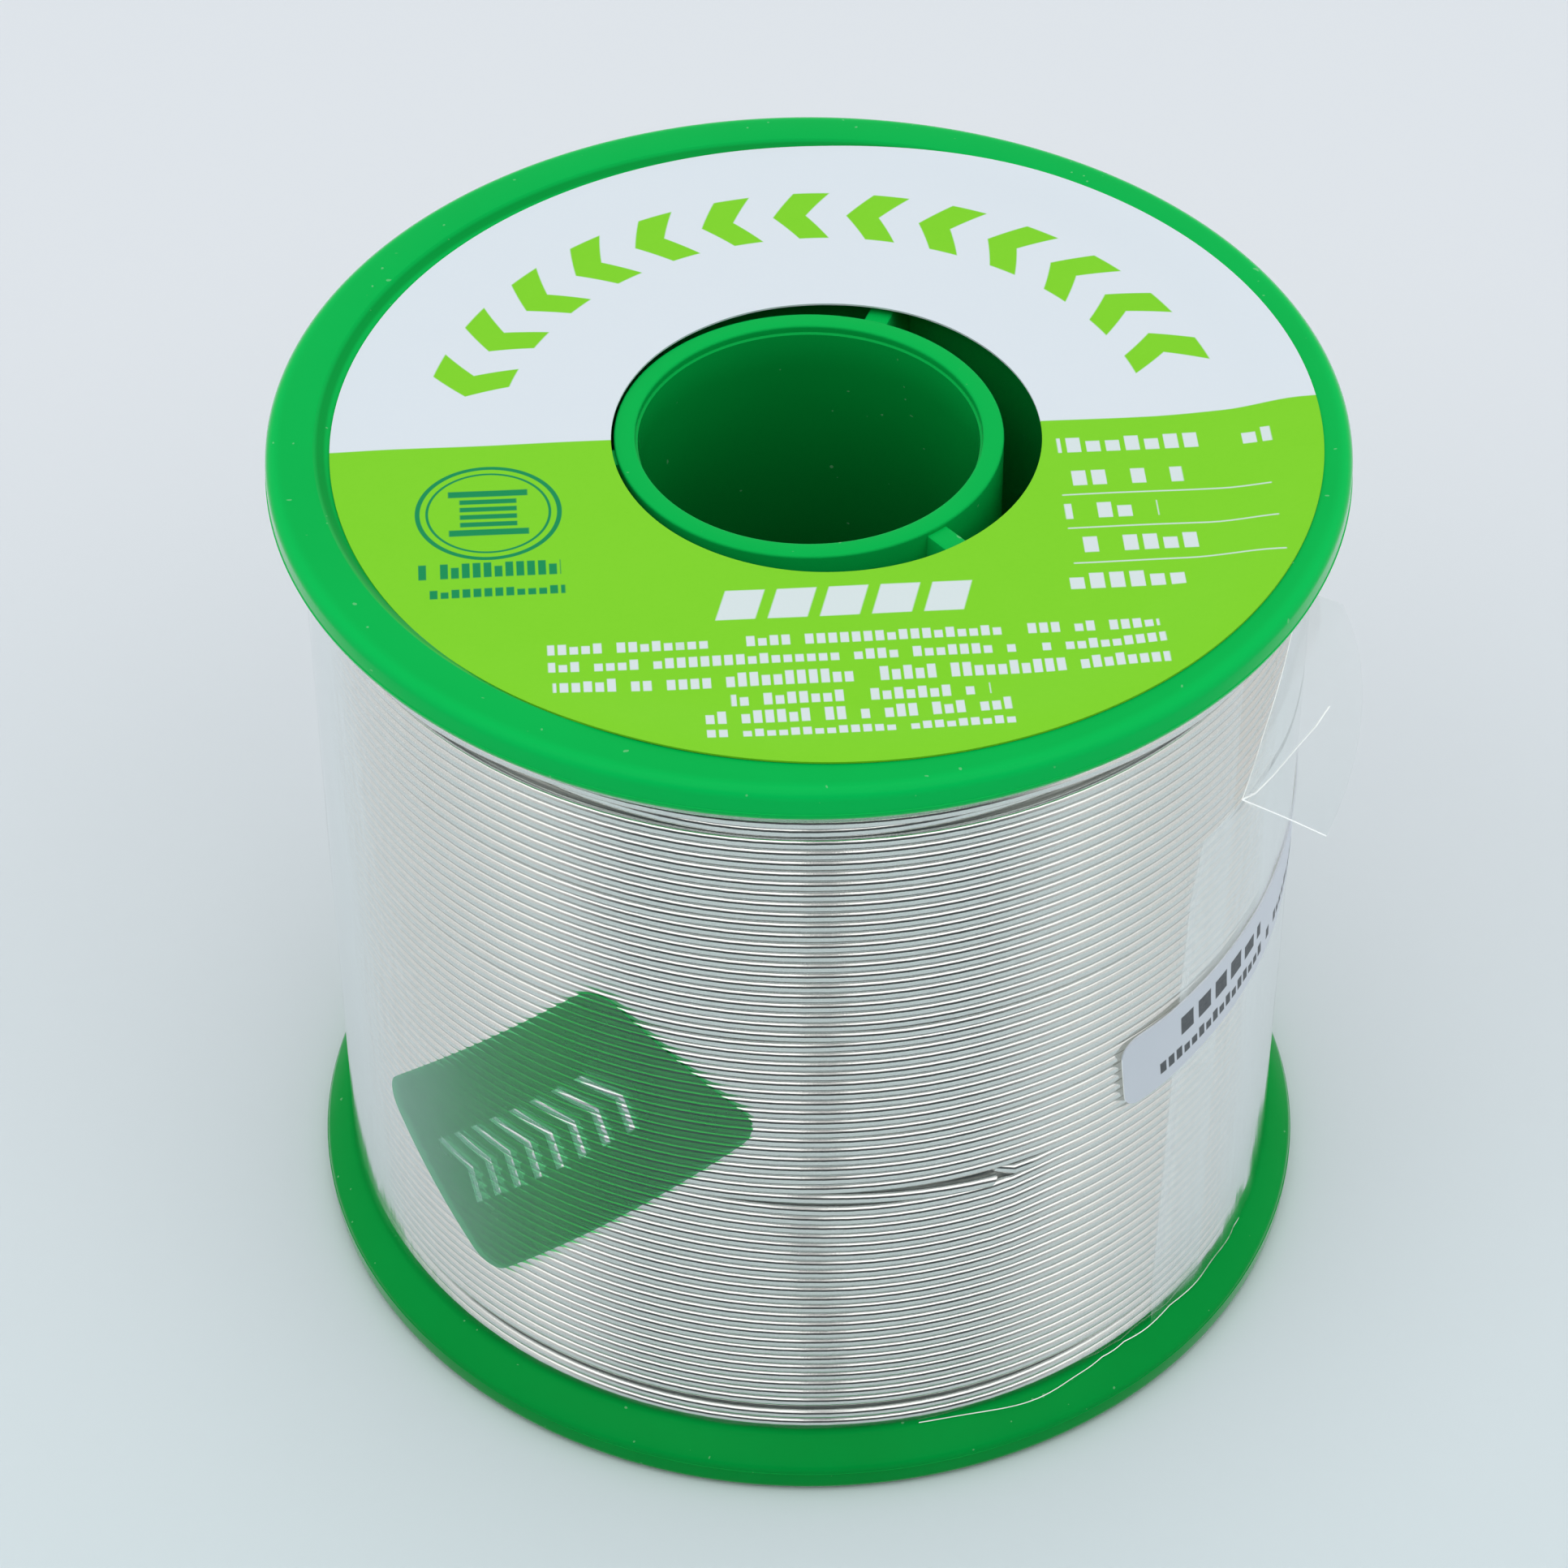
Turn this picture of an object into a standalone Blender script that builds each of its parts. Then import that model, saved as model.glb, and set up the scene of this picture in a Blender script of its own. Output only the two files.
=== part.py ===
"""Spool of solder wire, standing on its lower flange.

Units are metres. +Z runs up the bore and -Y faces the front. The origin is the centre of the
lower flange's outer face. Angles round the spool are counted from the front towards +X.
"""

import math

import bmesh
import bpy
import numpy as np
from mathutils import Matrix, Vector

SPOOL_NAME = "solder_wire_spool"

# Gap between neighbouring pieces, and the steps of a full circle
CLEARANCE = 0.0003
CIRCLE_STEPS = 60
SHARP_ANGLE = math.radians(30)

# Flanges
FLANGE_RADIUS = 0.0320
SPOOL_HEIGHT = 0.0590
FLANGE_THICKNESS = 0.0036
RIM_EDGE_RADIUS = 0.0004
RIM_SHOULDER_RADIUS = 0.0019
RIM_FACE_WIDTH = 0.00297
RECESS_DEPTH = 0.00045
RECESS_SLOPE_WIDTH = 0.0007

# Barrel that carries the wire, and the spigot joint at its middle
BARREL_RADIUS = 0.0180
BARREL_WALL = 0.0020
SPIGOT_LENGTH = 0.0040

# Hub tube round the bore, and the ribs that hold it
BORE_RADIUS = 0.0101
HUB_WALL = 0.0014
HUB_SETBACK = 0.0005
LEAD_IN_WIDTH = 0.00013
LEAD_IN_DEPTH = 0.0005
RIB_COUNT = 3
RIB_THICKNESS = 0.0015
RIB_SETBACK = 0.0003
FIRST_RIB_ANGLE = math.radians(40)

# Wound wire: its crest lies this far inside the rim
WINDING_MARGIN = 0.00195
OUTER_LOOPS = 23.5
LOOP_GAP = 0.00045
POINTS_PER_LOOP = 24
FREE_END_ANGLE = math.radians(21)
LEAD_BEND_FACTOR = 1.5
LEAD_BEND_POINTS = 6

# Paper label on the upper flange, pasted a little off centre
LABEL_OVERLAP = 0.00012
LABEL_HOLE_MARGIN = 0.00117
LABEL_THICKNESS = 0.0002
LABEL_OFFSET = (0.00103, -0.00048)

# Clear film round the winding, with an overlap and a folded corner
FILM_THICKNESS = 0.0002
FILM_OUTER_END_ANGLE = math.radians(44)
FILM_INNER_END_ANGLE = math.radians(59)
FILM_STEP_ANGLES = (math.radians(66), math.radians(80))
FILM_COLUMN_ANGLE = math.radians(6)
FOLD_FOOT_ANGLE = math.radians(56.4)
FOLD_FOOT_DROP = 0.0106
FOLD_SWEEP_DROP = 0.0251
FOLD_TOP_ANGLE = math.radians(70)
FOLD_ROWS = 4
SWEEP_ROWS = 3
FLAP_COLUMNS = 4
FLAP_CROWN = 0.0006
# The flap's free edge is a curve with one handle. Each of its points has an angle, a distance
# off the film and a drop below the film's top.
FLAP_TIP = (math.radians(70), 0.0027, 0.0186)
FLAP_HANDLE = (math.radians(69.3), 0.0063, 0.0093)
FLAP_END = (math.radians(72), 0.0022, 0.0010)

# Stickers on the film: a height is the centre's, above the lower flange's inner face
STICKER_THICKNESS = 0.0002
STICKER_COLUMN = 0.0030
STICKER_CORNER_STEPS = 4
STICKER_ROWS = 4
GREEN_STICKER_LENGTH = 0.0280
GREEN_STICKER_WIDTH = 0.0137
GREEN_STICKER_CORNER = 0.0020
GREEN_STICKER_TILT = math.radians(47.5)
GREEN_STICKER_ANGLE = math.radians(-32.3)
GREEN_STICKER_HEIGHT = 0.02155
WHITE_STICKER_LENGTH = 0.0300
WHITE_STICKER_WIDTH = 0.0058
WHITE_STICKER_CORNER = 0.0012
WHITE_STICKER_TILT = math.radians(7)
WHITE_STICKER_ANGLE = math.radians(66.4)
WHITE_STICKER_HEIGHT = 0.0266

# Worked out from the sizes above
HUB_RADIUS = BORE_RADIUS + HUB_WALL
BARREL_BORE = BARREL_RADIUS - BARREL_WALL
BARREL_MIDDLE = BARREL_RADIUS - BARREL_WALL / 2
SEAM = SPOOL_HEIGHT / 2
RIM_FACE_RADIUS = FLANGE_RADIUS - RIM_FACE_WIDTH
WINDING_LOW = FLANGE_THICKNESS + CLEARANCE
WINDING_HIGH = SPOOL_HEIGHT - FLANGE_THICKNESS - CLEARANCE
LOOP_PITCH = (WINDING_HIGH - WINDING_LOW + LOOP_GAP) / (OUTER_LOOPS + 1)
LOOP_DIAMETER = LOOP_PITCH - LOOP_GAP
CREST_RADIUS = FLANGE_RADIUS - WINDING_MARGIN
LOOP_RADIUS = CREST_RADIUS - LOOP_DIAMETER / 2
# The straight steps between the points of a loop pass inside the circle by a cosine
CORE_RADIUS = LOOP_RADIUS * math.cos(math.pi / POINTS_PER_LOOP) - LOOP_DIAMETER / 2 - CLEARANCE
CORE_BORE = BARREL_RADIUS + CLEARANCE
LEAD_BEND_RADIUS = LEAD_BEND_FACTOR * LOOP_DIAMETER
FILM_RADIUS = CREST_RADIUS + CLEARANCE + FILM_THICKNESS / 2
FILM_STEP = FILM_THICKNESS + CLEARANCE
STICKER_STANDOFF = (FILM_THICKNESS + STICKER_THICKNESS) / 2 + CLEARANCE


def new_collection(name):
    collection = bpy.data.collections.new(name)
    bpy.context.scene.collection.children.link(collection)
    return collection


def new_object(name, data, collection):
    obj = bpy.data.objects.new(name, data)
    collection.objects.link(obj)
    return obj


def new_material(name, color, roughness, metallic=0.0, alpha=1.0):
    material = bpy.data.materials.new(name)
    material.use_nodes = True
    shader = material.node_tree.nodes["Principled BSDF"]
    shader.inputs["Base Color"].default_value = (*color, 1.0)
    shader.inputs["Roughness"].default_value = roughness
    shader.inputs["Metallic"].default_value = metallic
    shader.inputs["Alpha"].default_value = alpha
    material.diffuse_color = (*color, alpha)
    return material


def on_drum(angle, radius, height):
    """The point at this angle from the front, this far from the axis."""
    return Vector((radius * math.sin(angle), -radius * math.cos(angle), height))


def blend(value, low, high):
    """0 below low and 1 above high, with an even ease between them."""
    share = min(max((value - low) / (high - low), 0.0), 1.0)
    return share * share * (3 - 2 * share)


def arc(center, radius, start, end, steps):
    """Points of an arc in the plane of an outline, its ends included."""
    angles = [start + (end - start) * step / steps for step in range(steps + 1)]
    return [(center[0] + radius * math.cos(a), center[1] + radius * math.sin(a)) for a in angles]


def turned(name, outline, collection):
    """A ring whose section is a closed outline of (radius, height), its outer side downward."""
    mesh = bpy.data.meshes.new(name)
    corners = [(radius, 0.0, height) for radius, height in outline]
    edges = [(index, (index + 1) % len(corners)) for index in range(len(corners))]
    mesh.from_pydata(corners, edges, [])
    obj = new_object(name, mesh, collection)
    screw = obj.modifiers.new("Turn", "SCREW")
    screw.axis = "Z"
    screw.angle = math.tau
    screw.steps = CIRCLE_STEPS
    screw.render_steps = CIRCLE_STEPS
    screw.use_merge_vertices = True
    screw.merge_threshold = 0.00001
    return obj


def boxes(name, placements, collection):
    """One mesh of boxes, each given by its size and its matrix."""
    shape = bmesh.new()
    for size, matrix in placements:
        bmesh.ops.create_cube(shape, size=1.0, matrix=matrix @ Matrix.Diagonal((*size, 1.0)))
    mesh = bpy.data.meshes.new(name)
    shape.to_mesh(mesh)
    shape.free()
    return new_object(name, mesh, collection)


def use_boolean(obj, helper, operation):
    helper.hide_render = True
    helper.display_type = "WIRE"
    boolean = obj.modifiers.new(helper.name, "BOOLEAN")
    boolean.operation = operation
    boolean.object = helper


def finish(obj, material):
    """Turns the modifiers into the object's own mesh, shaded smooth up to its edges."""
    bpy.context.view_layer.update()
    evaluated = obj.evaluated_get(bpy.context.evaluated_depsgraph_get())
    mesh = bpy.data.meshes.new_from_object(evaluated)
    obj.modifiers.clear()
    obj.data = mesh
    mesh.name = obj.name
    mesh.shade_smooth()
    mesh.set_sharp_from_angle(angle=SHARP_ANGLE)
    mesh.materials.clear()
    mesh.materials.append(material)
    return obj


def surface(name, rows, collection, thickness):
    """A sheet of this thickness over rows of points, which may end before the row above."""
    shape = bmesh.new()
    grid = [[shape.verts.new(point) for point in row] for row in rows]
    for lower, upper in zip(grid, grid[1:]):
        for index in range(min(len(lower), len(upper)) - 1):
            shape.faces.new((lower[index], lower[index + 1], upper[index + 1], upper[index]))
    bmesh.ops.recalc_face_normals(shape, faces=shape.faces)
    mesh = bpy.data.meshes.new(name)
    shape.to_mesh(mesh)
    shape.free()
    obj = new_object(name, mesh, collection)
    solidify = obj.modifiers.new("Thickness", "SOLIDIFY")
    solidify.thickness = thickness
    solidify.offset = 0.0
    return obj


def half_outline(step_radius, step_depth, seam_depth):
    """Section of one moulding, as (radius, depth below its outer face).

    It runs from the seam down the barrel, round the rim and the label recess, and up the
    barrel's bore to the step at step_depth, where the wall goes on at step_radius.
    """
    shoulder = (FLANGE_RADIUS - RIM_SHOULDER_RADIUS, FLANGE_THICKNESS - RIM_SHOULDER_RADIUS)
    edge = (FLANGE_RADIUS - RIM_EDGE_RADIUS, RIM_EDGE_RADIUS)
    return [
        (BARREL_RADIUS, seam_depth),
        (BARREL_RADIUS, FLANGE_THICKNESS),
        *arc(shoulder, RIM_SHOULDER_RADIUS, math.pi / 2, 0.0, 5),
        *arc(edge, RIM_EDGE_RADIUS, 0.0, -math.pi / 2, 3),
        (RIM_FACE_RADIUS, 0.0),
        (RIM_FACE_RADIUS - RECESS_SLOPE_WIDTH, RECESS_DEPTH),
        (BARREL_BORE, RECESS_DEPTH),
        (BARREL_BORE, step_depth),
        (step_radius, step_depth),
        (step_radius, seam_depth),
    ]


def hub_outline(end_depth):
    """Section of the hub tube of one moulding, with the bore's lead-in at its outer end."""
    return [
        (HUB_RADIUS, end_depth),
        (HUB_RADIUS, HUB_SETBACK),
        (BORE_RADIUS + LEAD_IN_WIDTH, HUB_SETBACK),
        (BORE_RADIUS + LEAD_IN_WIDTH, HUB_SETBACK + LEAD_IN_DEPTH),
        (BORE_RADIUS, HUB_SETBACK + LEAD_IN_DEPTH),
        (BORE_RADIUS, end_depth),
    ]


def flipped(outline):
    """The same section for the upper moulding, whose outer face looks up."""
    return [(radius, SPOOL_HEIGHT - depth) for radius, depth in reversed(outline)]


def rib_placements(low, high):
    """Ribs from the middle of the hub's wall to the middle of the barrel's."""
    inner = HUB_RADIUS - HUB_WALL / 2
    size = (RIB_THICKNESS, BARREL_MIDDLE - inner, high - low)
    center = Matrix.Translation((0.0, -(inner + BARREL_MIDDLE) / 2, (low + high) / 2))
    angles = [FIRST_RIB_ANGLE + math.tau * index / RIB_COUNT for index in range(RIB_COUNT)]
    return [(size, Matrix.Rotation(angle, 4, "Z") @ center) for angle in angles]


def spool_half(name, outline, hub, rib_span, parts, cutters, material):
    half = turned(name, outline, parts)
    use_boolean(half, turned(name + "_hub", hub, cutters), "UNION")
    use_boolean(half, boxes(name + "_ribs", rib_placements(*rib_span), cutters), "UNION")
    return finish(half, material)


def lower_spool_half(parts, cutters, material):
    """The moulding with the socket: its inner walls end below the seam by the spigot."""
    depth = SEAM - SPIGOT_LENGTH - CLEARANCE / 2
    outline = half_outline(BARREL_MIDDLE + CLEARANCE / 2, depth, SEAM - CLEARANCE / 2)
    ribs = (HUB_SETBACK + RIB_SETBACK, depth - RIB_SETBACK)
    return spool_half(
        "lower_spool_half", outline, hub_outline(depth), ribs, parts, cutters, material
    )


def upper_spool_half(parts, cutters, material):
    """The moulding with the spigot: its inner walls reach past the seam."""
    depth = SEAM + SPIGOT_LENGTH - CLEARANCE / 2
    outline = half_outline(BARREL_MIDDLE - CLEARANCE / 2, depth, SEAM - CLEARANCE / 2)
    ribs = (SPOOL_HEIGHT - depth + RIB_SETBACK, SPOOL_HEIGHT - HUB_SETBACK - RIB_SETBACK)
    return spool_half(
        "upper_spool_half",
        flipped(outline),
        flipped(hub_outline(depth)),
        ribs,
        parts,
        cutters,
        material,
    )


def end_label(parts, material):
    radius = RIM_FACE_RADIUS + LABEL_OVERLAP
    hole = HUB_RADIUS + LABEL_HOLE_MARGIN
    low = SPOOL_HEIGHT + CLEARANCE
    high = low + LABEL_THICKNESS
    label = turned("end_label", [(radius, high), (radius, low), (hole, low), (hole, high)], parts)
    label.location = (*LABEL_OFFSET, 0.0)
    return finish(label, material)


def lead_in_points(angle, height):
    """The wire's rise from the layer below: straight outward, then bent round the drum."""
    outward = on_drum(angle, 1.0, 0.0)
    along = on_drum(angle + math.pi / 2, 1.0, 0.0)
    center = outward * (LOOP_RADIUS - LEAD_BEND_RADIUS)
    turns = [math.pi / 2 * (1 - step / LEAD_BEND_POINTS) for step in range(LEAD_BEND_POINTS)]
    bend = [
        center + LEAD_BEND_RADIUS * (outward * math.cos(turn) - along * math.sin(turn))
        for turn in turns
    ]
    points = [bend[0] - outward * LOOP_DIAMETER, *bend]
    return [point + Vector((0.0, 0.0, height)) for point in points]


def winding_route():
    """The outer layer's centre line: the lead-in, the loops and the straight free end."""
    steps = round(OUTER_LOOPS * POINTS_PER_LOOP)
    first_angle = FREE_END_ANGLE - OUTER_LOOPS * math.tau
    low = WINDING_LOW + LOOP_DIAMETER / 2
    loops = [
        on_drum(
            first_angle + OUTER_LOOPS * math.tau * step / steps,
            LOOP_RADIUS,
            low + LOOP_PITCH * OUTER_LOOPS * step / steps,
        )
        for step in range(steps + 1)
    ]
    free_end = loops[-1] + on_drum(FREE_END_ANGLE + math.pi / 2, LOOP_DIAMETER, 0.0)
    return [*lead_in_points(first_angle, low), *loops, free_end]


def print_least_gap(route):
    """Measures the wire's least gap to itself, over points more than half a loop apart."""
    points = np.array(route)
    apart = POINTS_PER_LOOP // 2
    nearest = min(
        np.linalg.norm(points[index + apart :] - points[index], axis=1).min()
        for index in range(len(points) - apart)
    )
    print(f"least gap between loops: {(nearest - LOOP_DIAMETER) * 1000:.2f} mm")


def wire_outer_turns(parts, material):
    route = winding_route()
    print_least_gap(route)
    curve = bpy.data.curves.new("wire_outer_turns", "CURVE")
    curve.dimensions = "3D"
    curve.bevel_depth = LOOP_DIAMETER / 2
    curve.bevel_resolution = 1
    curve.use_fill_caps = True
    spline = curve.splines.new("POLY")
    spline.points.add(len(route) - 1)
    for point, place in zip(spline.points, route):
        point.co = (*place, 1.0)
    spline.use_smooth = True
    curve.materials.append(material)
    return new_object("wire_outer_turns", curve, parts)


def wire_inner_layers(parts, cutters, material):
    """The full layers as one ring, with a notch where the outer layer's wire comes out."""
    low = WINDING_LOW
    high = WINDING_HIGH
    outline = [(CORE_RADIUS, high), (CORE_RADIUS, low), (CORE_BORE, low), (CORE_BORE, high)]
    layers = turned("wire_inner_layers", outline, parts)
    floor = LOOP_RADIUS - LEAD_BEND_RADIUS - LOOP_DIAMETER - CLEARANCE
    room = LOOP_DIAMETER / 2 + CLEARANCE
    depth = FLANGE_RADIUS - floor
    width = LEAD_BEND_RADIUS + 2 * room
    height = 2 * (room + CLEARANCE)
    middle = Vector((-LEAD_BEND_RADIUS / 2, -(floor + depth / 2), low + LOOP_DIAMETER / 2))
    turn = Matrix.Rotation(FREE_END_ANGLE - OUTER_LOOPS * math.tau, 4, "Z")
    notch = ((width, depth, height), turn @ Matrix.Translation(middle))
    use_boolean(layers, boxes("lead_in_notch", [notch], cutters), "DIFFERENCE")
    return finish(layers, material)


def film_radius(angle):
    """The film's middle radius: its outer end lies over its inner end, then steps down."""
    return FILM_RADIUS + FILM_STEP * (1 - blend(angle, *FILM_STEP_ANGLES))


def film_end_angle(drop):
    """Where the film's outer layer starts: its end edge, or above that the fold."""
    if drop >= FOLD_FOOT_DROP:
        share = (FOLD_SWEEP_DROP - drop) / (FOLD_SWEEP_DROP - FOLD_FOOT_DROP)
        sweep = max(share, 0.0) ** 2
        return FILM_OUTER_END_ANGLE + sweep * (FOLD_FOOT_ANGLE - FILM_OUTER_END_ANGLE)
    share = 1 - drop / FOLD_FOOT_DROP
    return FOLD_FOOT_ANGLE + share * (FOLD_TOP_ANGLE - FOLD_FOOT_ANGLE)


def film_row(drop):
    """One row round the drum, from the inner end to the outer end or the fold."""
    height = WINDING_HIGH - drop
    start = film_end_angle(drop)
    end = FILM_INNER_END_ANGLE + math.tau
    even = math.ceil((end - FILM_OUTER_END_ANGLE) / FILM_COLUMN_ANGLE)
    angles = [end + (start - end) * column / even for column in range(even + 1)]
    return [on_drum(angle, film_radius(angle), height) for angle in angles]


def flap_row(fold, share):
    """From the fold to the flap's free edge, which is a curve with one handle."""
    tip, handle, last = (
        on_drum(angle, FILM_RADIUS + off, WINDING_HIGH - drop)
        for angle, off, drop in (FLAP_TIP, FLAP_HANDLE, FLAP_END)
    )
    edge = tip.lerp(handle, share).lerp(handle.lerp(last, share), share)
    outward = on_drum(FLAP_TIP[0], 1.0, 0.0)
    row = []
    for column in range(1, FLAP_COLUMNS + 1):
        run = column / FLAP_COLUMNS
        row.append(fold.lerp(edge, run) + outward * (FLAP_CROWN * math.sin(math.pi * run)))
    return row


def clear_film_wrap(parts, material):
    low_drop = WINDING_HIGH - WINDING_LOW
    sweep = [
        FOLD_SWEEP_DROP + (FOLD_FOOT_DROP - FOLD_SWEEP_DROP) * step / SWEEP_ROWS
        for step in range(SWEEP_ROWS)
    ]
    rows = [film_row(drop) for drop in [low_drop, *sweep]]
    for step in range(FOLD_ROWS + 1):
        row = film_row(FOLD_FOOT_DROP * (1 - step / FOLD_ROWS))
        rows.append(row + flap_row(row[-1], step / FOLD_ROWS))
    return finish(surface("clear_film_wrap", rows, parts, FILM_THICKNESS), material)


def sticker_columns(length, width, corner):
    """Where the columns of a rounded rectangle stand along it, and how far each reaches up."""
    turns = [math.pi / 2 * step / STICKER_CORNER_STEPS for step in range(STICKER_CORNER_STEPS)]
    corner_runs = [(corner * (1 - math.cos(a)), corner * (1 - math.sin(a))) for a in turns]
    middle = length - 2 * corner
    count = math.ceil(middle / STICKER_COLUMN)
    columns = [(run - length / 2, width / 2 - cut) for run, cut in corner_runs]
    columns += [(corner - length / 2 + middle * i / count, width / 2) for i in range(count + 1)]
    columns += [(length / 2 - run, width / 2 - cut) for run, cut in reversed(corner_runs)]
    return columns


def sticker_point(run, rise, tilt, angle, height):
    """A point of a sticker, tilted about its centre and bent round the film under it."""
    place = angle + (run * math.cos(tilt) - rise * math.sin(tilt)) / FILM_RADIUS
    up = height + run * math.sin(tilt) + rise * math.cos(tilt)
    radius = film_radius(place % math.tau) + STICKER_STANDOFF
    return on_drum(place, radius, FLANGE_THICKNESS + up)


def sticker(name, columns, tilt, angle, height, parts, material):
    shares = [2 * row / STICKER_ROWS - 1 for row in range(STICKER_ROWS + 1)]
    rows = [
        [sticker_point(run, share * reach, tilt, angle, height) for run, reach in columns]
        for share in shares
    ]
    return finish(surface(name, rows, parts, STICKER_THICKNESS), material)


def green_film_sticker(parts, material):
    columns = sticker_columns(GREEN_STICKER_LENGTH, GREEN_STICKER_WIDTH, GREEN_STICKER_CORNER)
    return sticker(
        "green_film_sticker",
        columns,
        GREEN_STICKER_TILT,
        GREEN_STICKER_ANGLE,
        GREEN_STICKER_HEIGHT,
        parts,
        material,
    )


def white_paper_sticker(parts, material):
    columns = sticker_columns(WHITE_STICKER_LENGTH, WHITE_STICKER_WIDTH, WHITE_STICKER_CORNER)
    return sticker(
        "white_paper_sticker",
        columns,
        WHITE_STICKER_TILT,
        WHITE_STICKER_ANGLE,
        WHITE_STICKER_HEIGHT,
        parts,
        material,
    )


def main():
    for obj in list(bpy.data.objects):
        bpy.data.objects.remove(obj, do_unlink=True)
    parts = new_collection(SPOOL_NAME)
    cutters = new_collection(SPOOL_NAME + "_cutters")
    cutters.hide_render = True

    green_plastic = new_material("green_plastic", (0.005, 0.46, 0.09), 0.28)
    label_paper = new_material("label_paper", (0.25, 0.70, 0.04), 0.55)
    solder = new_material("solder", (0.62, 0.65, 0.65), 0.30, metallic=1.0)
    clear_film = new_material("clear_film", (0.85, 0.89, 0.90), 0.08, alpha=0.25)
    green_film = new_material("green_film", (0.02, 0.24, 0.10), 0.30, alpha=0.85)
    white_paper = new_material("white_paper", (0.72, 0.76, 0.80), 0.50)

    lower_spool_half(parts, cutters, green_plastic)
    upper_spool_half(parts, cutters, green_plastic)
    end_label(parts, label_paper)
    wire_inner_layers(parts, cutters, solder)
    wire_outer_turns(parts, solder)
    clear_film_wrap(parts, clear_film)
    green_film_sticker(parts, green_film)
    white_paper_sticker(parts, white_paper)


main()
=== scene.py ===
"""Looks of a full spool of solder wire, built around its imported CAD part.

The spool stands on its lower flange at the origin, +Z up its bore and -Y to the front. Lengths
are metres. Angles round the drum are counted from the front towards +X.
"""

import math

import bmesh
import bpy
import numpy as np
from bpy.props import FloatProperty, FloatVectorProperty, PointerProperty
from mathutils import Matrix, Vector


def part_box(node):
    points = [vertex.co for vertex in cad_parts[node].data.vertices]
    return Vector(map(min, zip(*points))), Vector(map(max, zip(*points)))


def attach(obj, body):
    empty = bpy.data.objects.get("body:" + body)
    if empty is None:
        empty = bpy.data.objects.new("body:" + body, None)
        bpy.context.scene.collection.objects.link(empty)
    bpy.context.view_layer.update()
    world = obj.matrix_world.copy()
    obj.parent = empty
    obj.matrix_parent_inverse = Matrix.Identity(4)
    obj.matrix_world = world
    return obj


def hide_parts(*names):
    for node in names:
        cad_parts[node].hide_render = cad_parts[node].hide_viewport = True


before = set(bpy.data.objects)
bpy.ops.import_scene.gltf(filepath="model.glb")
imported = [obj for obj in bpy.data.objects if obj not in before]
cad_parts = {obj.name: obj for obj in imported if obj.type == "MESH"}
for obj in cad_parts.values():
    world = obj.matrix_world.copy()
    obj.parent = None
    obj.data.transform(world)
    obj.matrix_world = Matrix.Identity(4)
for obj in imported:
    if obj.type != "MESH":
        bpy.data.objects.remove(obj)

bl_info = {
    "name": "Solder wire spool",
    "version": (1, 0, 0),
    "blender": (4, 5, 0),
    "location": "View3D > Sidebar > Solder Spool",
    "description": "Builds the pieces, the finishes and the studio of a spool of solder wire",
    "category": "Object",
}

BODY = "root"
MM = 0.001
DEG = math.radians(1)

FLANGE_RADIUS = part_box("lower_spool_half")[1][0]
SPOOL_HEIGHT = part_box("upper_spool_half")[1][2]
LABEL_LOW, LABEL_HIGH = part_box("end_label")
LABEL_CENTER = ((LABEL_LOW[0] + LABEL_HIGH[0]) / 2, (LABEL_LOW[1] + LABEL_HIGH[1]) / 2)

TURN_STEPS = 240
# Angles round the drum times this give lengths along it, for the noise on wire and film
NOISE_RADIUS = 30 * MM
SHARP_ANGLE = 35 * DEG


# ---------------------------------------------------------------- sizes and colours


def length(name, description, default):
    return FloatProperty(
        name=name, description=description, default=default, min=0.0, unit="LENGTH", precision=5
    )


def colour(name, description, default):
    return FloatVectorProperty(
        name=name, description=description, default=default, size=3, min=0.0, max=1.0,
        subtype="COLOR",
    )


class SpoolSizes(bpy.types.PropertyGroup):
    """Sizes of the mouldings and of the wire."""

    flange_thickness: length("Flange thickness", "From the rim face to the winding", 3.6 * MM)
    rim_face_width: length("Rim face width", "Flat ring round the label", 2.97 * MM)
    recess_depth: length("Recess depth", "How far the label's bed lies below the rim", 0.45 * MM)
    barrel_radius: length("Barrel radius", "Outside of the barrel under the wire", 18.0 * MM)
    barrel_wall: length("Barrel wall", "Thickness of the barrel", 2.0 * MM)
    bore_radius: length("Bore radius", "Inside of the hub tube", 10.1 * MM)
    hub_wall: length("Hub wall", "Thickness of the hub tube", 1.4 * MM)
    hub_setback: length("Hub setback", "How far the hub ends below the rim face", 0.5 * MM)
    rib_thickness: length("Rib thickness", "The ribs between hub and barrel", 1.5 * MM)
    wire_gauge: length("Wire gauge", "Diameter of the solder wire", 0.79 * MM)
    winding_radius: length("Winding radius", "Crest of the outer layer", 30.05 * MM)
    label_radius: length("Label radius", "Outer edge of the end label", 29.15 * MM)
    label_hole: length("Label hole", "Radius of the hole round the hub", 12.67 * MM)
    film_thickness: length("Film thickness", "Clear packing film", 0.05 * MM)


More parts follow.
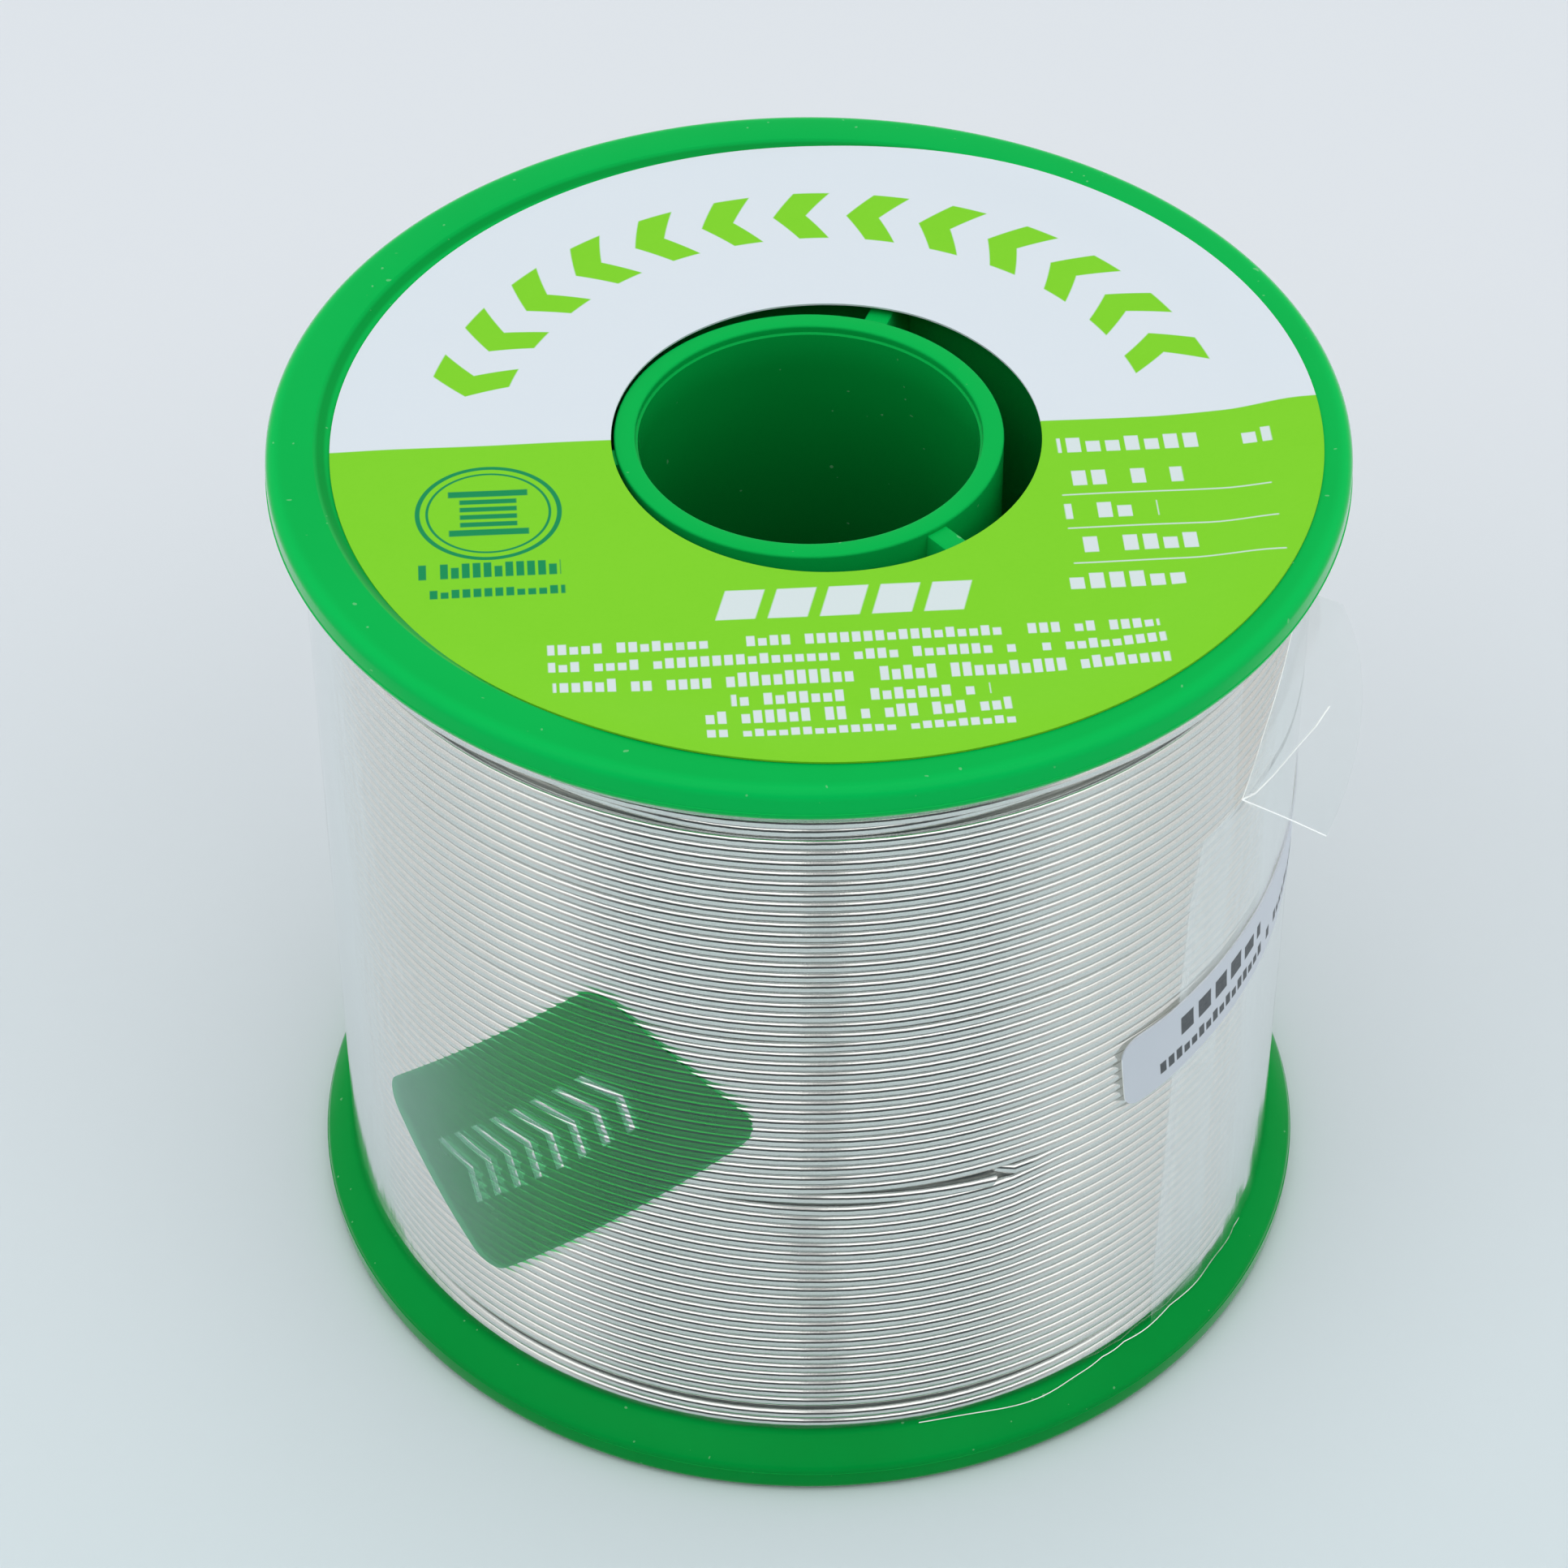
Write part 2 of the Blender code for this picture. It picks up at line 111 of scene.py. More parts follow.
class SpoolColours(bpy.types.PropertyGroup):
    """Colours of the finishes, in linear light."""

    plastic: colour("Plastic", "Moulded green plastic", (0.0015, 0.470, 0.080))
    # Also the colour of the painted shade in the bore, on the lower flange and on the slope by the
    # label
    plastic_deep_and_shade: colour("Plastic in depth", "The same, where it is thick", (0.0005, 0.230, 0.030))
    # Painted light: the outer rim is lighter, as if lit through the thin plastic
    plastic_lit_rim: colour("Plastic at the rim", "The same, where it is thin", (0.0030, 0.610, 0.115))
    label_white: colour("Label white", "Upper part of the label", (0.685, 0.755, 0.815))
    label_lime: colour("Label lime", "Lower part of the label", (0.190, 0.620, 0.012))
    label_green: colour("Label dark green", "Dark motif on the label", (0.001, 0.260, 0.085))
    solder: colour("Solder", "Bright drawn wire", (0.700, 0.706, 0.682))
    flux: colour("Flux", "Core that shows in the cut end", (0.560, 0.330, 0.090))
    # Painted shade: a darker copy of the solder for the layers under the outer one, which are also
    # rougher
    solder_shade: colour("Solder, shaded", "Dull layers under the outer one", (0.380, 0.390, 0.350))
    film: colour("Film", "Haze of the clear film", (0.850, 0.885, 0.885))
    # Partly painted reflection: this pale sheen stands in for the surroundings mirrored in the film
    green_film: colour("Green film", "Milky sheen of the green sticker", (0.400, 0.560, 0.600))
    green_glass: colour("Green film, clear part", "What it lets through", (0.060, 0.540, 0.150))
    paper: colour("White paper", "White sticker", (0.680, 0.720, 0.790))
    ink: colour("Ink", "Dark grey print", (0.045, 0.050, 0.055))
    floor: colour("Floor", "Studio floor behind the spool", (0.702, 0.740, 0.784))
    # Partly its own teal tone, partly painted light: brightened where less studio light reaches it
    floor_near_brightened: colour("Floor, near", "Studio floor before the spool", (0.648, 0.770, 0.798))


# ---------------------------------------------------------------- shader expressions


def two_sided(operation, swapped=False):
    """A Field's method for an operator with two operands."""
    def apply(self, other):
        return self.shader.math(operation, *((other, self) if swapped else (self, other)))

    return apply


class Field:
    """One output of a shader node. Arithmetic on it adds Math nodes to its tree."""

    def __init__(self, shader, socket):
        self.shader = shader
        self.socket = socket

    __add__ = __radd__ = two_sided("ADD")
    __mul__ = __rmul__ = two_sided("MULTIPLY")
    __sub__ = two_sided("SUBTRACT")
    __rsub__ = two_sided("SUBTRACT", swapped=True)
    __truediv__ = two_sided("DIVIDE")
    __pow__ = two_sided("POWER")
    __mod__ = two_sided("FLOORED_MODULO")

    def __neg__(self):
        return self * -1.0

    def __abs__(self):
        return self.shader.math("ABSOLUTE", self)


class Shader:
    """Adds nodes to a material or world. Inputs are values or fields, by name or by number."""

    def __init__(self, owner):
        owner.use_nodes = True
        self.owner = owner
        self.tree = owner.node_tree

    def node(self, kind, settings, inputs, output=0):
        made = self.tree.nodes.new(kind)
        for name, value in settings.items():
            setattr(made, name, value)
        for key, value in inputs.items():
            if isinstance(value, Field):
                self.tree.links.new(value.socket, made.inputs[key])
            else:
                made.inputs[key].default_value = value
        return Field(self, made.outputs[output])

    def math(self, operation, *values):
        return self.node("ShaderNodeMath", {"operation": operation}, dict(enumerate(values)))

    def split(self, vector):
        return [self.node("ShaderNodeSeparateXYZ", {}, {0: vector}, axis) for axis in range(3)]

    def place(self):
        """The point's x, y and z in the frame, in metres, and the vector of all three."""
        vector = self.node("ShaderNodeTexCoord", {}, {}, "Object")
        return (*self.split(vector), vector)

    def smooth(self, value, low, high):
        """0 below low and 1 above high, with an even ease between them."""
        return self.node(
            "ShaderNodeMapRange",
            {"interpolation_type": "SMOOTHSTEP"},
            {"Value": value, "From Min": low, "From Max": high},
        )

    def fade(self, value, low, high):
        """1 below low and 0 above high."""
        return 1 - self.smooth(value, low, high)

    def inside(self, value, low, high, soft):
        """1 between low and high, with soft edges."""
        rise = self.smooth(value, low - soft, low + soft)
        return rise * self.fade(value, high - soft, high + soft)

    def within(self, value, limit, soft):
        """1 up to the limit, with a soft edge."""
        return self.fade(value, limit - soft, limit + soft)

    def either(self, *masks):
        joined = masks[0]
        for mask in masks[1:]:
            joined = self.math("MAXIMUM", joined, mask)
        return joined

    def noise(self, vector, size, detail=2.0):
        """Soft noise from 0 to 1 whose blotches are about this many metres wide."""
        return self.node(
            "ShaderNodeTexNoise", {}, {"Vector": vector, "Scale": 1 / size, "Detail": detail}
        )

    def vector(self, x, y, z):
        return self.node("ShaderNodeCombineXYZ", {}, {0: x, 1: y, 2: z})

    def mix(self, share, low, high):
        """A colour between two colours."""
        low, high = (
            value if isinstance(value, Field) else (*value, 1.0) for value in (low, high)
        )
        inputs = {0: share, 6: low, 7: high}
        return self.node("ShaderNodeMix", {"data_type": "RGBA"}, inputs, 2)

    def glancing(self, low, high):
        """0 where the surface faces the eye and 1 where it turns away."""
        facing = self.node("ShaderNodeLayerWeight", {}, {"Blend": 0.5}, "Facing")
        return self.smooth(facing, low, high)

    def outward(self, place):
        """Above 0 where the surface seen looks away from the drum."""
        normal = self.node("ShaderNodeNewGeometry", {}, {}, "Normal")
        return self.node(
            "ShaderNodeVectorMath", {"operation": "DOT_PRODUCT"}, {0: normal, 1: place}, "Value"
        )

    def facing_out(self, place):
        """1 on the side of a thin sheet that looks away from the drum, seen from outside."""
        shown = 1 - self.node("ShaderNodeNewGeometry", {}, {}, "Backfacing")
        return self.math("GREATER_THAN", self.outward(place), 0.0) * shown

    def facing_in(self, place):
        """1 on the side of a thin sheet that looks towards the drum."""
        return self.math("LESS_THAN", self.outward(place), 0.0)

    def bump(self, height, distance, strength=1.0):
        return self.node(
            "ShaderNodeBump", {}, {"Height": height, "Distance": distance, "Strength": strength}
        )

    def principled(self, **inputs):
        """A Principled shader. Names are its inputs in lower case, with _ for a space."""
        named = {key.replace("_", " ").title(): value for key, value in inputs.items()}
        named = {key.replace("Ior", "IOR"): value for key, value in named.items()}
        if not isinstance(named["Base Color"], Field):
            named["Base Color"] = (*named["Base Color"], 1.0)
        return self.node("ShaderNodeBsdfPrincipled", {}, named)

    def mix_shaders(self, share, low, high):
        return self.node("ShaderNodeMixShader", {}, {0: share, 1: low, 2: high})

    def clear(self, tint=(1.0, 1.0, 1.0)):
        return self.node("ShaderNodeBsdfTransparent", {}, {"Color": (*tint, 1.0)})

    def output(self, surface):
        made = self.tree.nodes.new("ShaderNodeOutputMaterial")
        self.tree.links.new(surface.socket, made.inputs["Surface"])
        return self.owner

    def paint(self, **inputs):
        """Makes one Principled shader the whole surface, and gives the finished material."""
        return self.output(self.principled(**inputs))


def new_shader(name):
    shader = Shader(bpy.data.materials.new(name))
    shader.tree.nodes.clear()
    return shader


# ---------------------------------------------------------------- meshes


def on_drum(turn, radius, height):
    """Points at these angles from the front, this far from the axis. Takes arrays too."""
    return np.stack(
        np.broadcast_arrays(radius * np.sin(turn), -radius * np.cos(turn), height), axis=-1
    )


def full_turn(count):
    """Angles of points spaced evenly all the way round."""
    return np.arange(count) * (math.tau / count)


def ease(value, low, high):
    share = np.clip((value - low) / (high - low), 0.0, 1.0)
    return share * share * (3 - 2 * share)


def plateau(position, span):
    """Rises from 0 to 1 over the first pair of the span, and falls again over the second."""
    return ease(position, span[0], span[1]) * (1 - ease(position, span[2], span[3]))


def waves(position, count, seed):
    """Slow random ripple within -1 and 1, from a few sines with fixed random phases."""
    numbers = np.random.default_rng(seed)
    total = np.zeros_like(position, dtype=float)
    for _ in range(count):
        pace, phase = numbers.uniform(0.4, 2.6), numbers.uniform(0, math.tau)
        total += np.sin(position * pace + phase)
    return total / count


def arc(center, radius, start, end, steps):
    """Points of an arc in the plane of an outline, its ends included."""
    turns = np.linspace(start, end, steps + 1)
    return [(center[0] + radius * math.cos(t), center[1] + radius * math.sin(t)) for t in turns]


def grid_faces(index):
    """Four-sided faces between neighbours in a grid of point numbers."""
    corners = (index[:-1, :-1], index[:-1, 1:], index[1:, 1:], index[1:, :-1])
    return np.stack(corners, axis=-1).reshape(-1, 4).tolist()


def quads(rows, columns, loop_rows, loop_columns):
    """Faces over a grid of points that may close on itself either way."""
    index = np.arange(rows * columns).reshape(rows, columns)
    if loop_rows:
        index = np.vstack([index, index[:1]])
    if loop_columns:
        index = np.hstack([index, index[:, :1]])
    return grid_faces(index)


def new_piece(name, points, faces, material):
    """An object from points and faces, its normals outward, shaded smooth up to its edges."""
    mesh = bpy.data.meshes.new(name)
    mesh.from_pydata(np.asarray(points).reshape(-1, 3).tolist(), [], faces)
    shape = bmesh.new()
    shape.from_mesh(mesh)
    bmesh.ops.recalc_face_normals(shape, faces=shape.faces)
    shape.to_mesh(mesh)
    shape.free()
    mesh.shade_smooth()
    mesh.set_sharp_from_angle(angle=SHARP_ANGLE)
    mesh.materials.append(material)
    obj = bpy.data.objects.new(name, mesh)
    bpy.context.scene.collection.objects.link(obj)
    return obj


def turned(name, outline, material, steps=TURN_STEPS):
    """A ring whose section is a closed outline of (radius, height)."""
    section = np.array(outline)
    turns = full_turn(steps)[:, None]
    grid = on_drum(turns, section[None, :, 0], section[None, :, 1])
    return new_piece(name, grid, quads(*grid.shape[:2], True, True), material)


def apply_modifiers(obj):
    bpy.context.view_layer.update()
    evaluated = obj.evaluated_get(bpy.context.evaluated_depsgraph_get())
    mesh = bpy.data.meshes.new_from_object(evaluated)
    obj.modifiers.clear()
    obj.data = mesh
    mesh.shade_smooth()
    mesh.set_sharp_from_angle(angle=SHARP_ANGLE)


def unite(obj, helpers):
    """Joins the helpers into the object as one closed body."""
    for helper in helpers:
        boolean = obj.modifiers.new(helper.name, "BOOLEAN")
        boolean.operation = "UNION"
        boolean.object = helper
    apply_modifiers(obj)
    for helper in helpers:
        bpy.data.objects.remove(helper)


def thicken(obj, thickness):
    """Makes a closed thin body of an open sheet."""
    solidify = obj.modifiers.new("Thickness", "SOLIDIFY")
    solidify.thickness = thickness
    solidify.offset = 0.0
    apply_modifiers(obj)


def capped_tubes(name, tubes, material):
    """One piece of several tubes, each given as its rings of points and closed at both ends."""
    points, faces = [], []
    for rings in tubes:
        start = len(points)
        count, sides = rings.shape[:2]
        points.extend(rings.reshape(-1, 3))
        for face in quads(count, sides, False, True):
            faces.append([corner + start for corner in face])
        for first in (start, len(points) - sides):
            faces.append(list(range(first, first + sides)))
    return new_piece(name, points, faces, material)


def place_piece(obj, node):
    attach(obj, BODY)
    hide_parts(node)
    return obj


# ---------------------------------------------------------------- green mouldings

SHOULDER_RADIUS = 0.7 * MM
SHOULDER_TURN = 50 * DEG
SLOPE_FOOT_RADIUS = 30.4 * MM
FLASH_DEPTH = 1.70 * MM
EDGE_RADIUS = 0.7 * MM
FLASH_HEIGHT = 0.05 * MM
FLASH_HALF_WIDTH = 0.035 * MM
CROWN = 0.035 * MM
SMALL_EDGE = 0.15 * MM
SLOPE_DROP = 0.08 * MM
RECESS_SLOPE = 0.7 * MM
BARREL_FILLET = 0.6 * MM
SEAM_GAP = 0.1 * MM
SPIGOT_LENGTH = 4.0 * MM
LEAD_IN_WIDTH = 0.13 * MM
LEAD_IN_DEPTH = 0.5 * MM
LEAD_IN_SLOPE = 0.05 * MM
RIB_COUNT = 3
RIB_SETBACK = 0.3 * MM
FIRST_RIB_ANGLE = 40 * DEG
# Greens in linear light: painted shade down in the bore, and pale specks in the plastic
BORE_SHADE_GREEN = (0.0004, 0.075, 0.008)
SPECK_GREEN = (0.45, 0.72, 0.50)
# Where painted shade and painted light go on the plastic: radii of the hub, of the slope by the
# label and of the outer edge, heights over the lower flange, and how far in from either end the
# bore darkens
HUB_ZONE = (9.0 * MM, 12.2 * MM)
SLOPE_ZONE = (28.45 * MM, 28.95 * MM)
EDGE_ZONE = (30.9 * MM, 31.9 * MM)
FOOT_ZONE = (4.5 * MM, 12 * MM)
BORE_DIM_DEPTH = 2.2 * MM
BORE_DARK_DEPTH = 8 * MM


def plastic_material(colours):
    shader = new_shader("green_spool_plastic")
    x, y, z, place = shader.place()
    radius = (x * x + y * y) ** 0.5
    cloudy = shader.noise(place, 9 * MM, 3.0)
    deep = shader.fade(radius, *HUB_ZONE)
    # Painted shade inside the bore, away from its ends
    inner = shader.inside(z, BORE_DIM_DEPTH, SPOOL_HEIGHT - BORE_DIM_DEPTH, 1.6 * MM) * deep
    # Painted shade on the lower flange, under the winding
    low = shader.fade(z, *FOOT_ZONE)
    # Painted shade on the slope by the label, under the rim's inner edge
    slope = shader.inside(radius, *SLOPE_ZONE, 0.12 * MM) * (1 - low)
    # Cloudiness is the plastic's own uneven tone; the other three terms are painted shade
    depth = cloudy * 0.22 + 0.62 * inner + 0.58 * low + 0.55 * slope
    base = shader.mix(depth, colours.plastic, colours.plastic_deep_and_shade)
    # Painted shade, darker still deep down the bore
    deep_bore_shade = shader.inside(z, BORE_DARK_DEPTH, SPOOL_HEIGHT - BORE_DARK_DEPTH, 6 * MM) * deep
    base = shader.mix(deep_bore_shade * 0.62, base, BORE_SHADE_GREEN)
    # Painted light at the outer edge of the rim, as if lit through the thin plastic
    thin = shader.smooth(radius, *EDGE_ZONE) * (1 - low)
    base = shader.mix(thin * 0.60, base, colours.plastic_lit_rim)
    specks = shader.smooth(shader.noise(place, 0.4 * MM, 0.0), 0.84, 0.88)
    skin = shader.noise(place, 1.6 * MM, 1.0) + 0.12 * shader.noise(place, 0.25 * MM, 2.0)
    return shader.paint(
        base_color=shader.mix(specks * 0.25, base, SPECK_GREEN),
        roughness=0.27 + 0.10 * shader.noise(place, 2.5 * MM, 4.0) + 0.2 * specks,
        normal=shader.bump(skin, 0.02 * MM, 0.5),
        specular_ior_level=0.03,
        coat_weight=shader.glancing(0.46, 0.88),
        coat_roughness=0.16,
    )


def moulding_outline(sizes, step_radius, step_depth, seam_depth):
    """Section of one moulding as (radius, depth below its outer face), from the seam round."""
    wall = FLANGE_RADIUS - FLASH_HEIGHT
    flash = FLASH_DEPTH - FLASH_HALF_WIDTH
    face_out = wall - EDGE_RADIUS
    face_in = FLANGE_RADIUS - sizes.rim_face_width + SMALL_EDGE
    bore = sizes.barrel_radius - sizes.barrel_wall
    foot = (sizes.barrel_radius + BARREL_FILLET, sizes.flange_thickness + BARREL_FILLET)
    inner_edge = (bore + SMALL_EDGE, sizes.recess_depth + SMALL_EDGE)
    crown = [
        (face_out + (face_in - face_out) * share, CROWN * (2 * share - 1) ** 2)
        for share in np.linspace(0.0, 1.0, 9)[1:-1]
    ]
    return [
        (sizes.barrel_radius, seam_depth),
        *arc(foot, BARREL_FILLET, math.pi, 1.5 * math.pi, 5),
        (SLOPE_FOOT_RADIUS - SMALL_EDGE, sizes.flange_thickness),
        (SLOPE_FOOT_RADIUS + SMALL_EDGE, sizes.flange_thickness - SLOPE_DROP),
        *arc((wall - SHOULDER_RADIUS, FLASH_DEPTH), SHOULDER_RADIUS, SHOULDER_TURN, 0.0, 8),
        (FLANGE_RADIUS, flash),
        (wall, flash - FLASH_HALF_WIDTH),
        *arc((wall - EDGE_RADIUS, EDGE_RADIUS + CROWN), EDGE_RADIUS, 0.0, -math.pi / 2, 6),
        *crown,
        *arc((face_in, SMALL_EDGE + CROWN), SMALL_EDGE, 1.5 * math.pi, 1.2 * math.pi, 4),
        (face_in - SMALL_EDGE - RECESS_SLOPE, sizes.recess_depth),
        *arc(inner_edge, SMALL_EDGE, 1.5 * math.pi, math.pi, 3),
        (bore, step_depth),
        (step_radius, step_depth),
        (step_radius, seam_depth),
    ]


def hub_outline(sizes, end_depth):
    """Section of the hub tube, with rounded edges and the bore's lead-in at its outer end."""
    outside = sizes.bore_radius + sizes.hub_wall
    lead_in = sizes.bore_radius + LEAD_IN_WIDTH
    edge = sizes.hub_setback + SMALL_EDGE
    lip = sizes.hub_setback + LEAD_IN_DEPTH
    return [
        (outside, end_depth),
        *arc((outside - SMALL_EDGE, edge), SMALL_EDGE, 0.0, -math.pi / 2, 4),
        *arc((lead_in + SMALL_EDGE, edge), SMALL_EDGE, 1.5 * math.pi, math.pi, 4),
        (lead_in, lip - LEAD_IN_SLOPE),
        (sizes.bore_radius, lip + LEAD_IN_SLOPE),
        (sizes.bore_radius, end_depth),
    ]


def flipped(outline):
    return [(radius, SPOOL_HEIGHT - depth) for radius, depth in outline]


def rib(name, sizes, low, high, turn, material):
    """One rib with rounded edges, from the middle of the hub's wall to the barrel's."""
    inner = sizes.bore_radius + sizes.hub_wall / 2
    outer = sizes.barrel_radius - sizes.barrel_wall / 2
    shape = bmesh.new()
    scale = Matrix.Diagonal((sizes.rib_thickness, outer - inner, high - low, 1.0))
    middle = Matrix.Translation((0.0, -(inner + outer) / 2, (low + high) / 2))
    bmesh.ops.create_cube(shape, size=1.0, matrix=middle @ scale)
    bmesh.ops.bevel(
        shape, geom=shape.edges, offset=SMALL_EDGE, segments=2, profile=0.5, affect="EDGES"
    )
    bmesh.ops.rotate(shape, verts=shape.verts, matrix=Matrix.Rotation(turn, 3, "Z"))
    points = [vert.co[:] for vert in shape.verts]
    faces = [[vert.index for vert in face.verts] for face in shape.faces]
    shape.free()
    return new_piece(name, points, faces, material)


def spool_half(name, sizes, outline, hub, rib_span, material):
    half = turned(name, outline, material)
    helpers = [turned(name + "_hub", hub, material)]
    for index in range(RIB_COUNT):
        turn = FIRST_RIB_ANGLE + math.tau * index / RIB_COUNT
        helpers.append(rib(f"{name}_rib_{index}", sizes, *rib_span, turn, material))
    unite(half, helpers)
    return half


class SPOOL_OT_mouldings(bpy.types.Operator):
    """Makes the two green halves of the spool, which meet half way up"""

    bl_idname = "solder_spool.mouldings"
    bl_label = "Green mouldings"

    def execute(self, context):
        sizes = context.scene.solder_spool_sizes
        material = plastic_material(context.scene.solder_spool_colours)
        seam = SPOOL_HEIGHT / 2 - SEAM_GAP / 2
        middle = sizes.barrel_radius - sizes.barrel_wall / 2
        rib_drop = sizes.hub_setback + RIB_SETBACK

        depth = seam - SPIGOT_LENGTH
        outline = moulding_outline(sizes, middle + SEAM_GAP / 2, depth, seam)
        span = (rib_drop, depth - RIB_SETBACK)
        lower = spool_half(
            "spool_bottom_half", sizes, outline, hub_outline(sizes, depth), span, material
        )
        place_piece(lower, "lower_spool_half")

        depth = seam + SPIGOT_LENGTH
        outline = flipped(moulding_outline(sizes, middle - SEAM_GAP / 2, depth, seam))
        hub = flipped(hub_outline(sizes, depth))
        span = (SPOOL_HEIGHT - depth + RIB_SETBACK, SPOOL_HEIGHT - rib_drop)
        upper = spool_half("spool_top_half", sizes, outline, hub, span, material)
        place_piece(upper, "upper_spool_half")
        return {"FINISHED"}


# ---------------------------------------------------------------- end label

LABEL_PAPER = 0.12 * MM
LABEL_TILT = 4.1 * DEG
LABEL_RINGS = 30
LABEL_GAP = 0.02 * MM
LABEL_SLACK = 0.05 * MM
LABEL_RIPPLE = 0.03 * MM
# It climbs on the rim where it is off centre: across the label, then round the recess's slope
LABEL_SIDE = (-14 * MM, 4 * MM)
LABEL_CLIMB = (-4.5 * MM, 0.1 * MM)
# Lighter lime and duller white that the print is mottled with, in linear light
PALE_LIME = (0.30, 0.72, 0.050)
DULL_WHITE = (0.62, 0.70, 0.77)
# Height of the lime field's border, how much it rises to the right, and where
BORDER_HEIGHT = 0.30 * MM
BORDER_RISE = 0.85 * MM
BORDER_SPAN = (19 * MM, 31 * MM)
PRINT_SOFT = 0.06 * MM
BLOCK_COUNT = 5
BLOCK_PITCH = 2.95 * MM
BLOCK_SPAN = (0.1 * MM, 2.35 * MM)
BLOCK_LEAN = 0.28
BLOCK_ROW_START = -3.0 * MM
BLOCK_ROW_HEIGHTS = (-16.4 * MM, -13.9 * MM)


def greeked_line(shader, along, across, middle, height, start, stop, cell, seed):
    """A line of blank print: a block for each letter, low or tall, with gaps between words."""
    number = shader.math("FLOOR", along / cell)
    chance = shader.node(
        "ShaderNodeTexWhiteNoise",
        {"noise_dimensions": "2D"},
        {"Vector": shader.vector(number, seed, 0.0)},
    )
    letter = shader.smooth(chance, 0.15, 0.16)
    tall = shader.smooth(shader.math("FRACT", chance * 7.0), 0.45, 0.46)
    foot = middle - height / 2
    line = shader.inside(across, foot, foot + height * (0.74 + 0.26 * tall), PRINT_SOFT)
    block = shader.inside(along - number * cell, 0.12 * cell, 0.84 * cell, PRINT_SOFT / 2)
    return letter * block * line * shader.inside(along, start, stop, PRINT_SOFT)


def slanted_blocks(shader, along, across):
    """A row of five leaning blocks."""
    lean = along - BLOCK_LEAN * across - BLOCK_ROW_START
    blocks = shader.inside(lean % BLOCK_PITCH, *BLOCK_SPAN, PRINT_SOFT)
    row = shader.inside(lean, 0.0, BLOCK_COUNT * BLOCK_PITCH, PRINT_SOFT)
    return blocks * row * shader.inside(across, *BLOCK_ROW_HEIGHTS, PRINT_SOFT)


def bar(shader, along, across, center, size):
    sides = [
        shader.inside(value, middle - span / 2, middle + span / 2, PRINT_SOFT)
        for value, middle, span in zip((along, across), center, size)
    ]
    return sides[0] * sides[1]


CHEVRON_RADIUS = 21.7 * MM
CHEVRON_PITCH = 4.55 * MM
CHEVRON_COUNT = 13
CHEVRON_HALF_HEIGHT = 2.35 * MM
CHEVRON_HALF_STROKE = 1.02 * MM
CHEVRON_SLANT = 0.62
CHEVRON_OFFSET = 0.7 * MM


def chevron_row(shader, along, across):
    """Bold arrows that follow the wire round the label."""
    angle_here = shader.math("ARCTAN2", across, along)
    radius = (along * along + across * across) ** 0.5
    span = CHEVRON_COUNT * CHEVRON_PITCH / CHEVRON_RADIUS
    travel = (angle_here - (math.pi - span) / 2) * CHEVRON_RADIUS
    local = travel % CHEVRON_PITCH - CHEVRON_PITCH / 2 - CHEVRON_OFFSET
    off = abs(radius - CHEVRON_RADIUS)
    stroke = shader.within(abs(local + off * CHEVRON_SLANT), CHEVRON_HALF_STROKE, PRINT_SOFT)
    band = shader.within(off, CHEVRON_HALF_HEIGHT, PRINT_SOFT)
    return stroke * band * shader.inside(travel, 0.0, CHEVRON_COUNT * CHEVRON_PITCH, PRINT_SOFT)


ICON_CENTER = (-20.0 * MM, -5.9 * MM)
ICON_RADII = (4.1 * MM, 3.55 * MM)
ICON_STROKES = (0.14 * MM, 0.08 * MM)
ICON_FLANGE = (4.6 * MM, 0.55 * MM)
ICON_FLANGE_RISE = 1.75 * MM
ICON_TURN = (3.3 * MM, 0.42 * MM)
ICON_TURN_PITCH = 0.68 * MM


def spool_icon(shader, along, across):
    """A small drawing of a wound spool in two thin rings."""
    right = along - ICON_CENTER[0]
    up = across - ICON_CENTER[1]
    radius = (right * right + up * up) ** 0.5
    rings = [
        shader.inside(radius, ring - stroke, ring + stroke, PRINT_SOFT / 2)
        for ring, stroke in zip(ICON_RADII, ICON_STROKES)
    ]
    flanges = [
        bar(shader, right, up, (0.0, side * ICON_FLANGE_RISE), ICON_FLANGE) for side in (-1, 1)
    ]
    turns = [
        bar(shader, right, up, (0.0, (step - 1.5) * ICON_TURN_PITCH), ICON_TURN)
        for step in range(4)
    ]
    return shader.either(*rings, *flanges, *turns)


# Blank lines of print in mm: middle height, letter height, left end, right end
FOOT_LINES = (
    (-18.3, 0.85, -17.0, 17.4),
    (-19.8, 0.85, -17.0, 17.6),
    (-21.5, 1.15, -16.8, 17.6),
    (-23.2, 0.95, -7.0, 7.4),
    (-24.7, 1.15, -8.6, 8.4),
    (-26.2, 0.70, -8.6, 8.6),
)
SIDE_LINES = (
    (-2.1, 1.35, 13.4, 26.0),
    (-5.2, 1.35, 13.4, 20.4),
    (-8.2, 1.35, 13.2, 18.6),
    (-11.2, 1.35, 12.6, 20.6),
    (-14.4, 1.35, 12.6, 19.4),
)
# Thin rules between the side lines
SIDE_RULES = tuple((19.3 * MM, height * MM) for height in (-6.7, -9.7, -12.8))
SIDE_RULE = (12.2 * MM, 0.10 * MM)
MARK_LINES = ((-11.0, 1.3, -24.2, -16.0), (-13.0, 0.75, -24.2, -15.8))


def printed_lines(shader, along, across, lines, cell, seed):
    masks = [
        greeked_line(shader, along, across, *[value * MM for value in line], cell, seed + index)
        for index, line in enumerate(lines)
    ]
    return shader.either(*masks)


